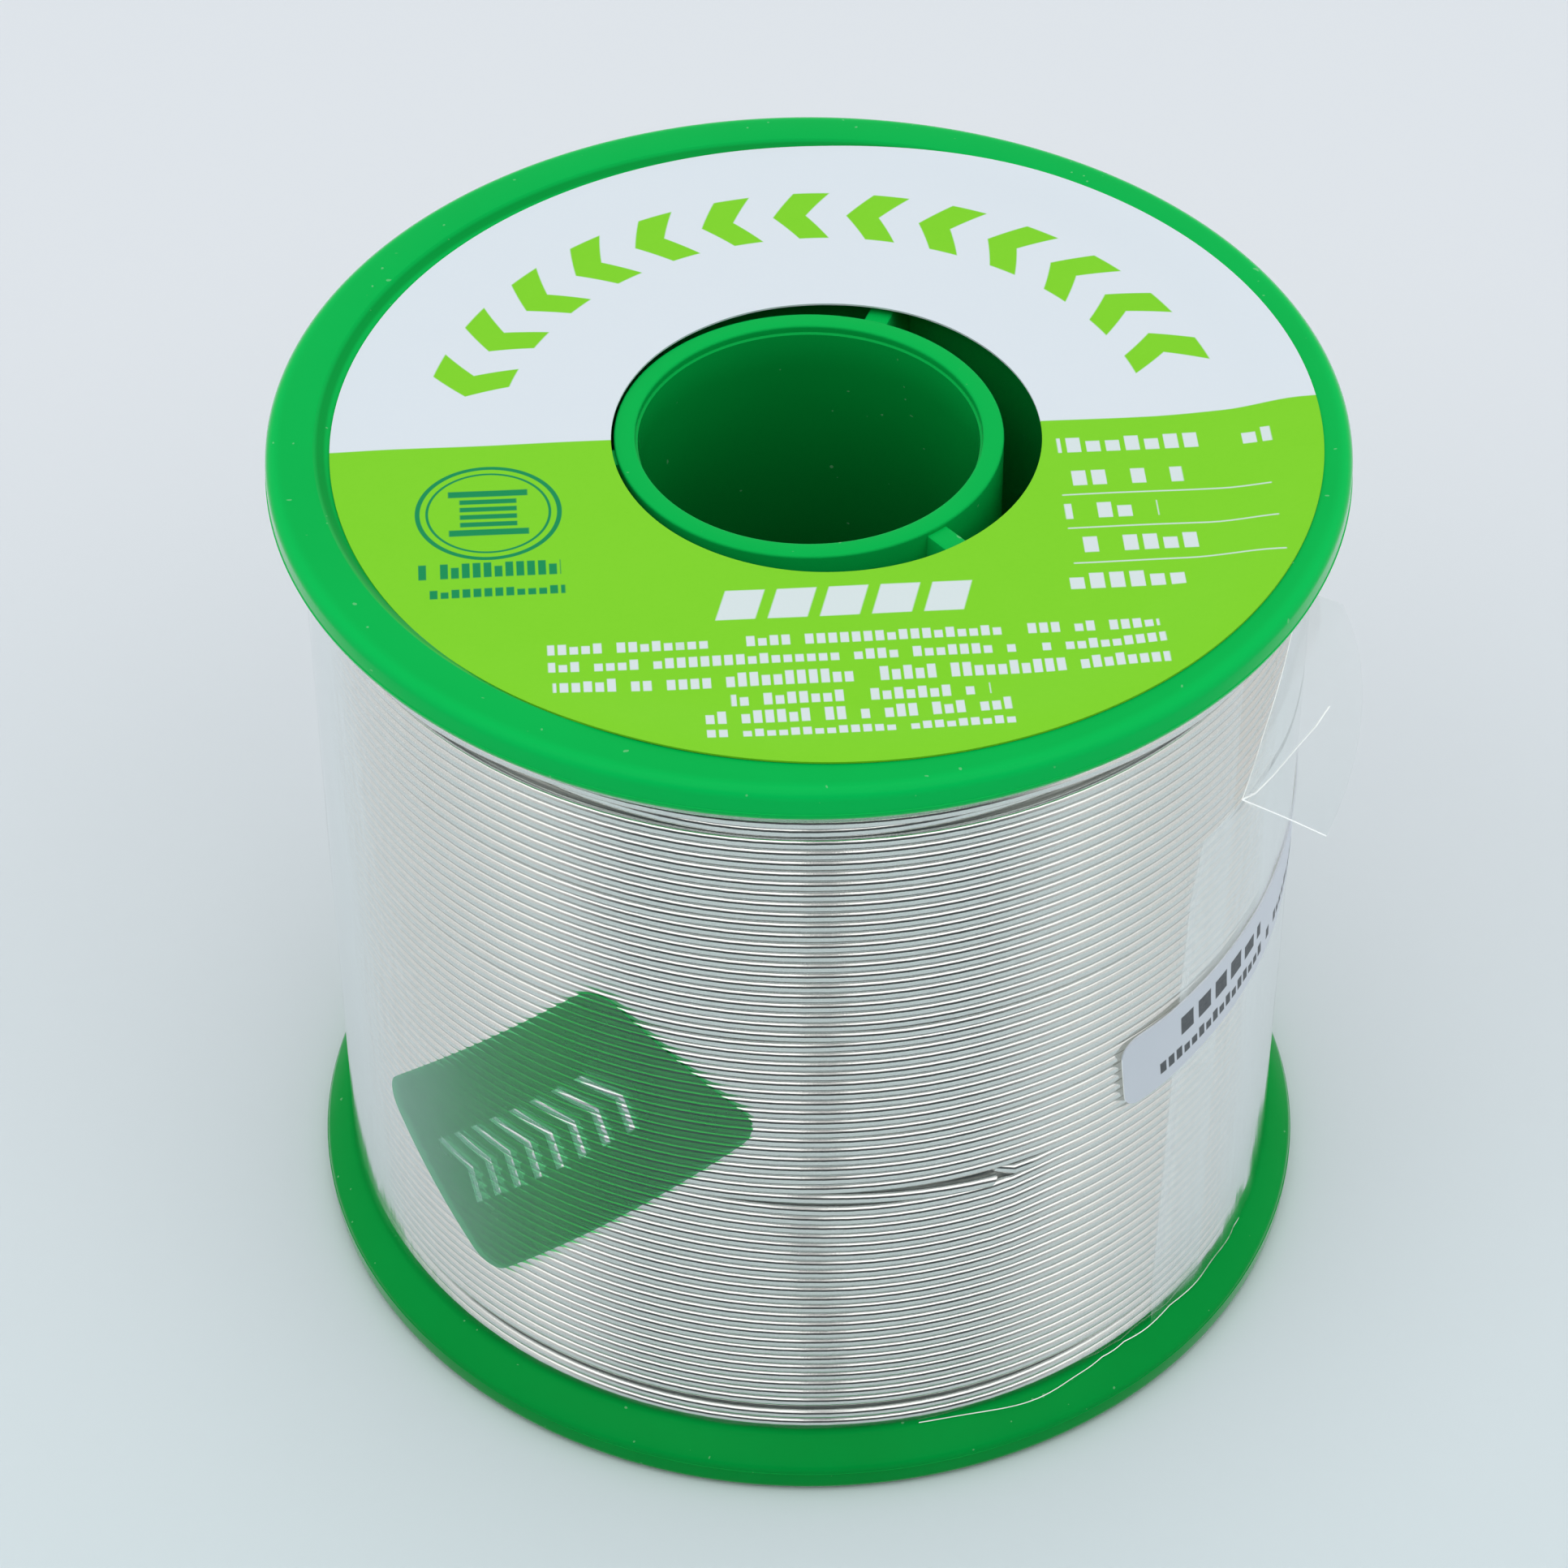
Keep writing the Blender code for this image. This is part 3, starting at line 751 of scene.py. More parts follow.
def label_material(colours):
    shader = new_shader("printed_label_paper")
    x, y, _, place = shader.place()
    right = x - LABEL_CENTER[0]
    back = y - LABEL_CENTER[1]
    cos, sin = math.cos(LABEL_TILT), math.sin(LABEL_TILT)
    along = right * cos + back * sin
    across = back * cos - right * sin

    border = BORDER_HEIGHT + BORDER_RISE * shader.smooth(along, *BORDER_SPAN)
    lime_field = shader.within(across - border, 0.0, PRINT_SOFT)
    lime = shader.either(lime_field, chevron_row(shader, along, across))

    white = shader.either(
        slanted_blocks(shader, along, across),
        printed_lines(shader, along, across, FOOT_LINES, 0.66 * MM, 3.0),
        printed_lines(shader, along, across, SIDE_LINES, 1.15 * MM, 21.0),
        *[bar(shader, along, across, center, SIDE_RULE) for center in SIDE_RULES],
    )
    dark = shader.either(
        spool_icon(shader, along, across),
        printed_lines(shader, along, across, MARK_LINES, 0.62 * MM, 40.0),
    )

    grain = shader.noise(place, 0.35 * MM, 3.0)
    mottle = shader.noise(place, 2.2 * MM, 2.0)
    lime_ink = shader.mix(grain * 0.14 + mottle * 0.08, colours.label_lime, PALE_LIME)
    paper = shader.mix(mottle * 0.12, colours.label_white, DULL_WHITE)
    base = shader.mix(lime, paper, lime_ink)
    base = shader.mix(white * 0.93, base, colours.label_white)
    return shader.paint(
        base_color=shader.mix(dark, base, colours.label_green),
        roughness=0.47 + 0.12 * grain,
        normal=shader.bump(grain + 2.0 * mottle, 0.012 * MM, 0.6),
        specular_ior_level=0.14,
    )


def label_bed(sizes, x, y):
    """Height of the paper's under side: on the recess floor, or up on the rim at the right."""
    floor = SPOOL_HEIGHT - sizes.recess_depth + LABEL_GAP
    radius = np.hypot(x, y)
    slope_top = FLANGE_RADIUS - sizes.rim_face_width
    towards = (x * LABEL_CENTER[0] + y * LABEL_CENTER[1]) / np.hypot(*LABEL_CENTER)
    side = ease(towards, *LABEL_SIDE)
    rise = ease(radius, slope_top + LABEL_CLIMB[0], slope_top + LABEL_CLIMB[1])
    ripple = LABEL_RIPPLE * (waves(x * 300 + y * 180, 3, 5) + waves(y * 260 - x * 90, 3, 8))
    return floor + sizes.recess_depth * rise * side + (ripple + LABEL_SLACK) * (1 - rise)


class SPOOL_OT_label(bpy.types.Operator):
    """Makes the round paper label, pasted a little off centre"""

    bl_idname = "solder_spool.label"
    bl_label = "End label"

    def execute(self, context):
        sizes = context.scene.solder_spool_sizes
        material = label_material(context.scene.solder_spool_colours)
        turns = full_turn(TURN_STEPS)[:, None]
        radii = np.linspace(sizes.label_hole, sizes.label_radius, LABEL_RINGS)[None, :]
        x = LABEL_CENTER[0] + radii * np.sin(turns)
        y = LABEL_CENTER[1] - radii * np.cos(turns)
        low = label_bed(sizes, x, y)
        top = np.stack([x, y, low + LABEL_PAPER], axis=-1)
        under = np.stack([x, y, low], axis=-1)[:, ::-1]
        grid = np.concatenate([top, under], axis=1)
        faces = quads(*grid.shape[:2], True, True)
        label = new_piece("paper_end_label", grid, faces, material)
        place_piece(label, "end_label")
        return {"FINISHED"}


# ---------------------------------------------------------------- solder wire

WIRE_SIDES = 12
STEPS_PER_TURN = 128
TURN_PITCH = 0.797 * MM
LAYER_DEPTH = 0.69 * MM
BURIED_DEPTH = 1.35 * MM
RISE_TURNS = 0.11
# Upper run: turns are counted from the back, so a turn passes the front half way through
SECOND_TURN_HEIGHT = 53.15 * MM
CUT_ANGLE = 21.5 * DEG
UPPER_TURNS = 37.5 + CUT_ANGLE / math.tau
# Over these last turns the cut end leaves its neighbour: room in pitches, and a small lift
END_PARTING = (-0.075, 0.012)
END_ROOM = 0.80
END_LIFT = 0.08 * MM
END_LIFT_TURNS = 0.02
# In front, the top turn stands off the next by this much, and the layer below shows between
TOP_ROOM = 0.72 * MM
TOP_ROOM_SPAN = (-0.15, -0.07, 0.06, 0.16)
# Lower run: turns are counted from the cut
LOWER_START_OFFSET = 0.16 * MM
# A little way on from the cut the lower turns close up, the first ones the most
CLOSING = 0.46 * MM
CLOSING_TURNS = 14
CLOSING_SPAN = (0.0, 0.024, 0.89, 0.965)
FIRST_CLOSED = 0.6
LOWER_PITCH = 0.780 * MM
LOWER_TURNS = 25.4
# It comes up to the outer layer at its start, and goes under again at its end
LOWER_SPAN = (-0.008, 0.008, LOWER_TURNS - 0.1, LOWER_TURNS)
LOWER_REGULAR_TURNS = 23.5
LOWER_ROOM = 0.35 * MM
LOWER_ROOM_SPAN = (-0.20, -0.10, 0.05, 0.14)
LOWEST_LIFT = 0.05 * MM
LOWEST_HEIGHT = 4.0 * MM
# Slips in the spacing of the upper run: middle turn, half width in turns, and how far down
SLIPS = (
    (21.42, 0.11, 0.10 * MM),
    (20.57, 0.07, 0.07 * MM),
    (9.40, 0.08, 0.05 * MM),
    (31.58, 0.09, 0.05 * MM),
)
# The piece of the layer below that shows in the room under the top turn
BULGE_ANGLES = (-50 * DEG, 55 * DEG)
BULGE_MIDDLE = -2 * DEG
BULGE_HALF_WIDTH = 32 * DEG
BULGE_DEPTH = 0.06 * MM
# How deep its ends sink, in layers, and its height over the second turn, in pitches
BULGE_SINK = 1.25
BULGE_RISE = 1.06
BULGE_SLOPE = 0.16
CUT_SLANT = 0.7
RADIUS_WOBBLE = 0.018 * MM
HEIGHT_WOBBLE = 0.022 * MM
FLUX_SHARE = 0.34
FLUX_DEPTH = 0.06 * MM
# Mottling of the wire, of its shaded layers and of the flux, in linear light
TARNISH = (0.64, 0.64, 0.59)
GLINT = (0.86, 0.86, 0.85)
PALE_SHADE = (0.45, 0.46, 0.42)
PALE_FLUX = (0.75, 0.52, 0.20)


def wire_wobble(turns, seed):
    """Small uneven spacing of the turns, slow along the wire and unlike from turn to turn."""
    return waves(turns * 5.3, 6, seed) + 0.6 * waves(turns * 17.0, 5, seed + 1)


def wire_crest(sizes):
    """Distance of the outer layer's wire from the axis."""
    return sizes.winding_radius - sizes.wire_gauge / 2


def upper_run(sizes):
    """Angles, radii and heights of the outer layer from the top down to its cut end."""
    count = round(UPPER_TURNS * STEPS_PER_TURN)
    turns = np.linspace(0.0, UPPER_TURNS, count + 1)
    heights = SECOND_TURN_HEIGHT - TURN_PITCH * (turns - 1.5)
    heights += TOP_ROOM * plateau(turns - 0.5, TOP_ROOM_SPAN)
    for middle, half, drop in SLIPS:
        heights -= drop * plateau(turns - middle, (-half, -half / 2, half / 2, half))
    heights -= END_ROOM * TURN_PITCH * ease(turns - UPPER_TURNS, *END_PARTING)
    radii = wire_crest(sizes) - BURIED_DEPTH * (1 - ease(turns, 0.0, RISE_TURNS))
    radii += END_LIFT * ease(turns, UPPER_TURNS - END_LIFT_TURNS, UPPER_TURNS)
    return turns * math.tau - math.pi, radii, heights


def bulge_run(sizes):
    """The turn of the layer below that swells up into the room under the top turn."""
    count = round((BULGE_ANGLES[1] - BULGE_ANGLES[0]) / math.tau * STEPS_PER_TURN)
    turns = np.linspace(*BULGE_ANGLES, count + 1)
    swell = np.exp(-(((turns - BULGE_MIDDLE) / BULGE_HALF_WIDTH) ** 2))
    radii = wire_crest(sizes) - LAYER_DEPTH * BULGE_SINK * (1 - swell) - BULGE_DEPTH
    heights = SECOND_TURN_HEIGHT + TURN_PITCH * (BULGE_RISE - BULGE_SLOPE * turns)
    return turns, radii, heights


def lower_run(sizes, cut_height):
    """The outer layer below the cut: it comes up from under the cut end and runs down."""
    count = round((LOWER_TURNS + RISE_TURNS) * STEPS_PER_TURN)
    turns = np.linspace(-RISE_TURNS, LOWER_TURNS, count + 1)
    heights = cut_height + LOWER_START_OFFSET - LOWER_PITCH * turns
    passed = np.floor(turns)
    share = np.clip(1 - passed / CLOSING_TURNS, 0.0, 1.0)
    closed = np.maximum(plateau(turns - passed, CLOSING_SPAN), FIRST_CLOSED * (turns < 0.5))
    heights += CLOSING * share * closed
    front = (turns * math.tau + CUT_ANGLE + math.pi) % math.tau / math.tau - 0.5
    lowest = ease(turns, LOWER_REGULAR_TURNS - 0.01, LOWER_REGULAR_TURNS)
    heights -= LOWER_ROOM * lowest * plateau(front, LOWER_ROOM_SPAN)
    heights = np.maximum(heights, LOWEST_HEIGHT)
    rise = plateau(turns, LOWER_SPAN)
    radii = wire_crest(sizes) - BURIED_DEPTH * (1 - rise) + LOWEST_LIFT * lowest * rise
    return CUT_ANGLE + turns * math.tau, radii, heights


def tube(turns, radii, heights, gauge):
    """Rings of points along the wire. Its way is close to level, so its rings stand upright."""
    around = full_turn(WIRE_SIDES)
    out = radii[:, None] + gauge / 2 * np.cos(around)[None, :]
    up = heights[:, None] + gauge / 2 * np.sin(around)[None, :]
    return on_drum(turns[:, None], out, up)


def slant_last_ring(rings, turn, height):
    """Leans the cut face: its top reaches further along the wire than its foot."""
    along = on_drum(turn + math.pi / 2, 1.0, 0.0)
    rise = rings[-1, :, 2] - height
    rings[-1] += rise[:, None] * CUT_SLANT * along[None, :]


def solder_material(colours):
    shader = new_shader("bright_solder")
    x, y, z, place = shader.place()
    travel = shader.math("ARCTAN2", x, -y) * NOISE_RADIUS
    grain = shader.noise(shader.vector(travel, z, 0.0), 0.09 * MM, 1.0)
    drawn = shader.noise(shader.vector(travel * 0.06, z, 0.0), 0.08 * MM, 2.0)
    tarnish = shader.noise(place, 7 * MM, 3.0)
    base = shader.mix(tarnish * 0.35, colours.solder, TARNISH)
    return shader.paint(
        base_color=shader.mix(shader.smooth(grain, 0.58, 0.72) * 0.5, base, GLINT),
        metallic=1.0,
        roughness=0.07 + 0.04 * drawn + 0.05 * tarnish,
        normal=shader.bump(grain + 0.6 * drawn, 0.0030 * MM, 0.6),
    )


# Painted shade: the layers below get a darker, rougher copy of the solder
def under_material(colours):
    shader = new_shader("shaded_solder")
    _, _, z, place = shader.place()
    drawn = shader.noise(shader.vector(0.0, 0.0, z), 0.08 * MM, 2.0)
    tarnish = shader.noise(place, 4 * MM, 3.0)
    return shader.paint(
        base_color=shader.mix(tarnish * 0.6, colours.solder_shade, PALE_SHADE),
        metallic=1.0,
        roughness=0.34 + 0.10 * drawn,
        normal=shader.bump(drawn, 0.004 * MM, 0.5),
    )


def flux_material(colours):
    shader = new_shader("amber_flux")
    _, _, _, place = shader.place()
    grain = shader.noise(place, 0.08 * MM, 2.0)
    base = shader.mix(grain * 0.5, colours.flux, PALE_FLUX)
    return shader.paint(base_color=base, roughness=0.35 + 0.1 * grain)


class SPOOL_OT_wire(bpy.types.Operator):
    """Winds the solder wire: every turn of the outer layer, its cut end and the layer below"""

    bl_idname = "solder_spool.wire"
    bl_label = "Solder wire"

    def execute(self, context):
        sizes = context.scene.solder_spool_sizes
        colours = context.scene.solder_spool_colours
        upper = upper_run(sizes)
        lower = lower_run(sizes, upper[2][-1])
        tubes = []
        for index, (turns, radii, heights) in enumerate((upper, lower, bulge_run(sizes))):
            travel = turns / math.tau
            radii = radii + RADIUS_WOBBLE * wire_wobble(travel, 11 + index)
            heights = heights + HEIGHT_WOBBLE * wire_wobble(travel, 31 + index)
            tubes.append(tube(turns, radii, heights, sizes.wire_gauge))
            if index == 0:
                slant_last_ring(tubes[0], turns[-1], heights[-1])
        wire = capped_tubes("solder_wire_turns", tubes, solder_material(colours))
        place_piece(wire, "wire_outer_turns")
        self.add_flux_core(upper, sizes, colours)

        outline = under_outline(sizes)
        shaded = under_material(colours)
        under = turned("solder_wire_under_layers", outline, shaded, STEPS_PER_TURN)
        place_piece(under, "wire_inner_layers")
        return {"FINISHED"}

    def add_flux_core(self, run, sizes, colours):
        """The flux that shows as a small dot in the cut face."""
        turns, radii, heights = (values[-2:] for values in run)
        step = np.array([0.0, FLUX_DEPTH]) / radii
        rings = tube(turns[-1] + step, radii, heights, sizes.wire_gauge * FLUX_SHARE)
        core = capped_tubes("flux_core_end", [rings], flux_material(colours))
        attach(core, BODY)


UNDER_SAMPLES = 6
UNDER_GAP = 0.05 * MM
UNDER_PLAY = 0.1 * MM
SCALLOP_SHARE = 0.96


def under_outline(sizes):
    """Section of the layers below: a ring whose outer side is scalloped turn by turn."""
    low = sizes.flange_thickness + UNDER_GAP
    high = SPOOL_HEIGHT - low
    crest = sizes.winding_radius - LAYER_DEPTH
    inner = sizes.barrel_radius + UNDER_PLAY
    count = int((high - low) / TURN_PITCH)
    outline = [(inner, high), (inner, low)]
    for row in range(count):
        for sample in range(UNDER_SAMPLES):
            share = (sample + 0.5) / UNDER_SAMPLES * 2 - 1
            drop = sizes.wire_gauge / 2 * (1 - math.sqrt(1 - (SCALLOP_SHARE * share) ** 2))
            height = low + (row + (sample + 0.5) / UNDER_SAMPLES) * (high - low) / count
            outline.append((crest - drop, height))
    return outline


# ---------------------------------------------------------------- clear film

FILM_LOW = 3.75 * MM
FILM_HIGH = 55.1 * MM
FILM_RADIUS = 30.15 * MM
FILM_STANDOFF = 0.14 * MM
FILM_STEP = (62 * DEG, 80 * DEG)
FILM_INNER_END = 55 * DEG
# Where the outer wrap ends: its cut edge from the foot up, then the fold. Height, angle
FILM_END = (
    (FILM_LOW, 45.0 * DEG),
    (32.0 * MM, 46.5 * DEG),
    (40.0 * MM, 47.3 * DEG),
    (43.9 * MM, 48.8 * DEG),
    (44.5 * MM, 56.4 * DEG),
    (FILM_HIGH, 70.0 * DEG),
)
CUT_EDGE_TOP = FILM_END[-3][0]
FOLD_FOOT_HEIGHT = FILM_END[-2][0]
# The foot of the sheet is crumpled and has close rows: their reach and their number
FOOT_REACH = 6 * MM
FOOT_ROWS = 16
FOOT_LOBE = (27 * DEG, 7 * DEG, 0.75 * MM)
FOOT_CRUMPLE = 0.45 * MM
FOOT_SPAN = (30 * DEG, 40 * DEG, 66 * DEG, 80 * DEG)
FOOT_TOP = (FILM_LOW + 0.5 * MM, FILM_LOW + 5.5 * MM)
FILM_RIPPLE = 0.03 * MM
FILM_ROWS = 36
FILM_COLUMNS = 230
FOLD_ROWS = 20
FLAP_COLUMNS = 24
FLAP_OUTWARD = 64 * DEG
FLAP_CROWN = 0.9 * MM
FLAP_FLUTTER = 0.25 * MM
FILM_IOR = 1.48
LOOSE_HAZE = 0.15
END_BAND_HAZE = 0.15
END_BAND_ANGLE = 0.030
# The haze ends round the side, at the fold and at the foot: angles, then heights
LOOSE_FADE = (76 * DEG, 92 * DEG)
BAND_FADE = (44 * MM, 47 * MM)
FOOT_CLEAR = (4 * MM, 13 * MM)
RIM_SIDES = 6
# Painted highlight of the rods along the film's edges: a white base and a glow
RIM_HIGHLIGHT_WHITE = (0.97, 0.98, 0.97)
RIM_PAINTED_GLOW = (0.30, 0.30, 0.30, 1.0)
FOLD_RIM = 0.030 * MM
FLAP_RIM = 0.045 * MM
CREASE_RIM = 0.060 * MM
FOOT_RIM = 0.030 * MM
# The crease runs up over the flap, in steps of its grid: row, column
CREASE = ((1, 1), (3, 3), (6, 6), (8, 9), (10, 12))
FOOT_RIM_ANGLES = (13 * DEG, 66 * DEG)
# The flap's free edge from its tip up: angle, radius, height
FLAP_EDGE = (
    (70.0 * DEG, 33.2 * MM, 36.5 * MM),
    (70.0 * DEG, 35.4 * MM, 44.2 * MM),
    (73.5 * DEG, 34.3 * MM, 49.0 * MM),
    (71.0 * DEG, 32.4 * MM, 54.2 * MM),
)


def film_end_angle(shader, height):
    """The angle of FILM_END at this height, as a field."""
    total = FILM_END[0][1]
    for (low, start), (high, end) in zip(FILM_END, FILM_END[1:]):
        total = total + shader.node(
            "ShaderNodeMapRange", {}, {"Value": height, 1: low, 2: high, 4: end - start}
        )
    return total


def film_material(colours):
    """Clear film: it mirrors more at a glance, and is milky where it stands off the winding."""
    shader = new_shader("clear_packing_film")
    x, y, z, place = shader.place()
    angle_here = shader.math("ARCTAN2", x, -y)
    travel = angle_here * NOISE_RADIUS
    ripples = shader.noise(shader.vector(travel, z * 0.25, 0.0), 5 * MM, 3.0)
    fine = shader.noise(shader.vector(travel * 3.0, z * 0.4, 0.0), 3 * MM, 2.0)
    normal = shader.bump(ripples + 0.25 * fine, 0.12 * MM, 0.8)
    gloss = shader.node("ShaderNodeFresnel", {}, {"IOR": FILM_IOR, "Normal": normal})
    past_end = angle_here - film_end_angle(shader, z)
    loose = shader.smooth(past_end, -0.004, 0.010) * shader.fade(angle_here, *LOOSE_FADE)
    band = shader.inside(past_end, 0.0, END_BAND_ANGLE, 0.010) * shader.fade(z, *BAND_FADE)
    foot_clear = shader.smooth(z, *FOOT_CLEAR)
    milky = (LOOSE_HAZE * loose + END_BAND_HAZE * band) * (0.75 + 0.5 * ripples) * foot_clear
    mirror = gloss * 1.5 + 0.38 * shader.smooth(gloss, 0.10, 0.32)
    share = shader.math("MINIMUM", mirror + milky, 0.94) * shader.facing_out(place)
    body = shader.principled(
        base_color=colours.film,
        roughness=0.09 + 0.06 * fine,
        metallic=mirror / (mirror + milky),
        normal=normal,
    )
    return shader.output(shader.mix_shaders(share, shader.clear(), body))


def film_rim_material(colours):
    """The fold, the crease and the cut edges, with a painted highlight along their length: white
    and glowing.
    """
    shader = new_shader("clear_film_rim")
    _, _, _, place = shader.place()
    uneven = shader.noise(place, 7 * MM, 2.0)
    rim = shader.principled(
        emission_color=RIM_PAINTED_GLOW,
        emission_strength=1.0,
        base_color=shader.mix(uneven, colours.film, RIM_HIGHLIGHT_WHITE),
        roughness=0.12 + 0.12 * uneven,
    )
    share = 0.40 + 0.40 * shader.smooth(uneven, 0.35, 0.65)
    return shader.output(shader.mix_shaders(share, shader.clear(), rim))


def film_surface(turn, height):
    """Distance of the film from the axis, with its stand-off, ripples and crumpled foot."""
    place = np.mod(turn, math.tau)
    wrapped = turn > math.tau
    stand = FILM_STANDOFF * (1 - ease(place, *FILM_STEP))
    stand = np.where(wrapped | (place > math.pi), 0.0, stand)
    ripple = FILM_RIPPLE * waves(place * 9 + height * 90, 5, 3) * (1 + 2 * ease(place, 0.7, 1.0))
    low_zone = 1 - ease(height, *FOOT_TOP)
    middle, half_width, bulge = FOOT_LOBE
    lobe = np.exp(-(((place - middle) / half_width) ** 2))
    crumple = np.abs(waves(place * 20 + height * 300, 5, 7)) * plateau(place, FOOT_SPAN)
    foot = low_zone * (bulge * lobe + FOOT_CRUMPLE * crumple)
    return FILM_RADIUS + stand + np.abs(ripple) + np.where(wrapped, 0.0, foot)


def clear_film_sheet():
    """The sheet row by row, from its inner end round to the outer end or the fold."""
    heights = np.concatenate(
        [
            np.linspace(FILM_LOW, FILM_LOW + FOOT_REACH, FOOT_ROWS)[:-1],
            np.linspace(FILM_LOW + FOOT_REACH, CUT_EDGE_TOP, FILM_ROWS),
            np.linspace(FOLD_FOOT_HEIGHT, FILM_HIGH, FOLD_ROWS + 1),
        ]
    )[:, None]
    stop = FILM_INNER_END + math.tau
    shares = np.linspace(0.0, 1.0, FILM_COLUMNS)[None, :]
    turns = stop + (np.interp(heights, *zip(*FILM_END)) - stop) * shares
    return on_drum(turns, film_surface(turns, heights), heights)


def flap_grid(fold):
    """The loose corner, folded back: from the fold line to its free edge."""
    corners = [Vector(on_drum(*place)) for place in FLAP_EDGE]
    outward = Vector(on_drum(FLAP_OUTWARD, 1.0, 0.0))
    runs = np.linspace(0.0, 1.0, FLAP_COLUMNS + 1)[1:]
    rows = []
    for index, point in enumerate(fold):
        share = index / (len(fold) - 1)
        edge = Vector()
        for order, corner in enumerate(corners):
            weight = math.comb(3, order) * share**order * (1 - share) ** (3 - order)
            edge += corner * weight
        row = []
        for run in runs:
            crown = FLAP_CROWN * math.sin(math.pi * run)
            crown += FLAP_FLUTTER * math.sin(5 * run + 3 * share)
            row.append(Vector(point).lerp(edge, run) + outward * crown * (0.35 + 0.65 * share))
        rows.append([vector[:] for vector in row])
    return np.array(rows)


def rim(path, radius):
    """Rings of points of a thin rod along a path."""
    along = np.gradient(path, axis=0)
    side = np.cross(along, (0.0, 0.0, 1.0))
    side /= np.linalg.norm(side, axis=1)[:, None]
    up = np.cross(side, along)
    up /= np.linalg.norm(up, axis=1)[:, None]
    turns = full_turn(RIM_SIDES)[None, :, None]
    return path[:, None] + radius * (np.cos(turns) * side[:, None] + np.sin(turns) * up[:, None])


class SPOOL_OT_film(bpy.types.Operator):
    """Wraps the winding in clear film, with its overlap and its folded corner"""

    bl_idname = "solder_spool.film"
    bl_label = "Clear film"

    def execute(self, context):
        sizes = context.scene.solder_spool_sizes
        colours = context.scene.solder_spool_colours
        sheet = clear_film_sheet()
        rows, columns = sheet.shape[:2]
        fold = sheet[-FOLD_ROWS - 1 :, -1]
        flap = flap_grid(fold)
        index = np.arange(rows * columns).reshape(rows, columns)
        flap_index = index.size + np.arange(flap.shape[0] * FLAP_COLUMNS)
        flap_index = np.hstack([index[-FOLD_ROWS - 1 :, -1:], flap_index.reshape(-1, FLAP_COLUMNS)])
        points = np.concatenate([sheet.reshape(-1, 3), flap.reshape(-1, 3)])
        faces = grid_faces(index) + grid_faces(flap_index)
        film = new_piece("clear_film_sleeve", points, faces, film_material(colours))
        thicken(film, sizes.film_thickness)
        place_piece(film, "clear_film_wrap")

        # Thin glowing rods, painted highlights along the fold, the flap's lower edge and crease,
        # and the crumpled foot
        lower_edge = np.concatenate([fold[:1], flap[0]])
        turns = np.linspace(*FOOT_RIM_ANGLES, 60)
        foot = on_drum(turns, film_surface(turns, FILM_LOW), FILM_LOW)
        crease = np.array([fold[0], *[flap[place] for place in CREASE]])
        paths = (fold, FOLD_RIM), (lower_edge, FLAP_RIM), (crease, CREASE_RIM), (foot, FOOT_RIM)
        rods = [rim(path, radius) for path, radius in paths]
        rims = capped_tubes("clear_film_rims", rods, film_rim_material(colours))
        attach(rims, BODY)
        return {"FINISHED"}


# ---------------------------------------------------------------- stickers

STICKER_GAP = 0.05 * MM
GREEN_LIFT = 0.08 * MM
GREEN_RIPPLE = 0.02 * MM
# The white sticker's lift all over, and more at its upper edge and at its left end
WHITE_LIFT = 0.02 * MM
WHITE_TOP_LIFT = 0.06 * MM
WHITE_LEFT_LIFT = 0.03 * MM
WHITE_LEFT_SPAN = 4 * MM
WHITE_THICKNESS = 0.10 * MM
GREEN_STICKER = {
    "length": 28.0 * MM,
    "width": 13.7 * MM,
    "corner": 2.0 * MM,
    "tilt": 47.5 * DEG,
    "angle": -32.3 * DEG,
    "height": 25.15 * MM,
}
WHITE_STICKER = {
    "length": 30.0 * MM,
    "width": 5.8 * MM,
    "corner": 1.2 * MM,
    "tilt": 7 * DEG,
    "angle": 66.4 * DEG,
    "height": 30.2 * MM,
}
CORNER_STEPS = 8
STICKER_ROWS = 14
# Over this angle before the film's outer end a sticker steps up on it
STEP_UP = 0.1
# Row of chevrons on the green sticker. A stroke's half width fades out over MARK_STROKE
MARK_HALF_LENGTH = 9.6 * MM
MARK_PITCH = 2.4 * MM
MARK_HALF_HEIGHT = 2.3 * MM
MARK_STROKE = (0.32 * MM, 0.44 * MM)
MARK_SLANT = 0.62
# Paler sheen for the painted reflection on the green sticker, in blotches
PALE_SHEEN = (0.48, 0.62, 0.62)


def sticker_reach(sticker):
    """Where columns stand along a rounded rectangle, and how far each reaches up."""
    corner = sticker["corner"]
    half = sticker["length"] / 2
    turns = np.linspace(0.0, math.pi / 2, CORNER_STEPS, endpoint=False)
    runs = corner * (1 - np.cos(turns)) - half
    reach = sticker["width"] / 2 - corner * (1 - np.sin(turns))
    middle = np.linspace(corner - half, half - corner, round(2 * half / (0.6 * MM)))
    full = np.full_like(middle, sticker["width"] / 2)
    return (
        np.concatenate([runs, middle, -runs[::-1]]),
        np.concatenate([reach, full, reach[::-1]]),
    )


def sticker_grid(sticker, lift):
    """Points of a tilted sticker, bent round the film. lift(run, rise) is its distance off."""
    runs, reach = sticker_reach(sticker)
    shares = np.linspace(-1.0, 1.0, STICKER_ROWS)[:, None]
    rise = shares * reach[None, :]
    run = np.broadcast_to(runs[None, :], rise.shape)
    cos, sin = math.cos(sticker["tilt"]), math.sin(sticker["tilt"])
    place = sticker["angle"] + (run * cos - rise * sin) / FILM_RADIUS
    height = sticker["height"] + run * sin + rise * cos
    film_end = FILM_END[0][1]
    stand = FILM_STANDOFF * plateau(place, (film_end - STEP_UP, film_end, *FILM_STEP))
    return on_drum(place, FILM_RADIUS + stand + STICKER_GAP + lift(run, rise), height)


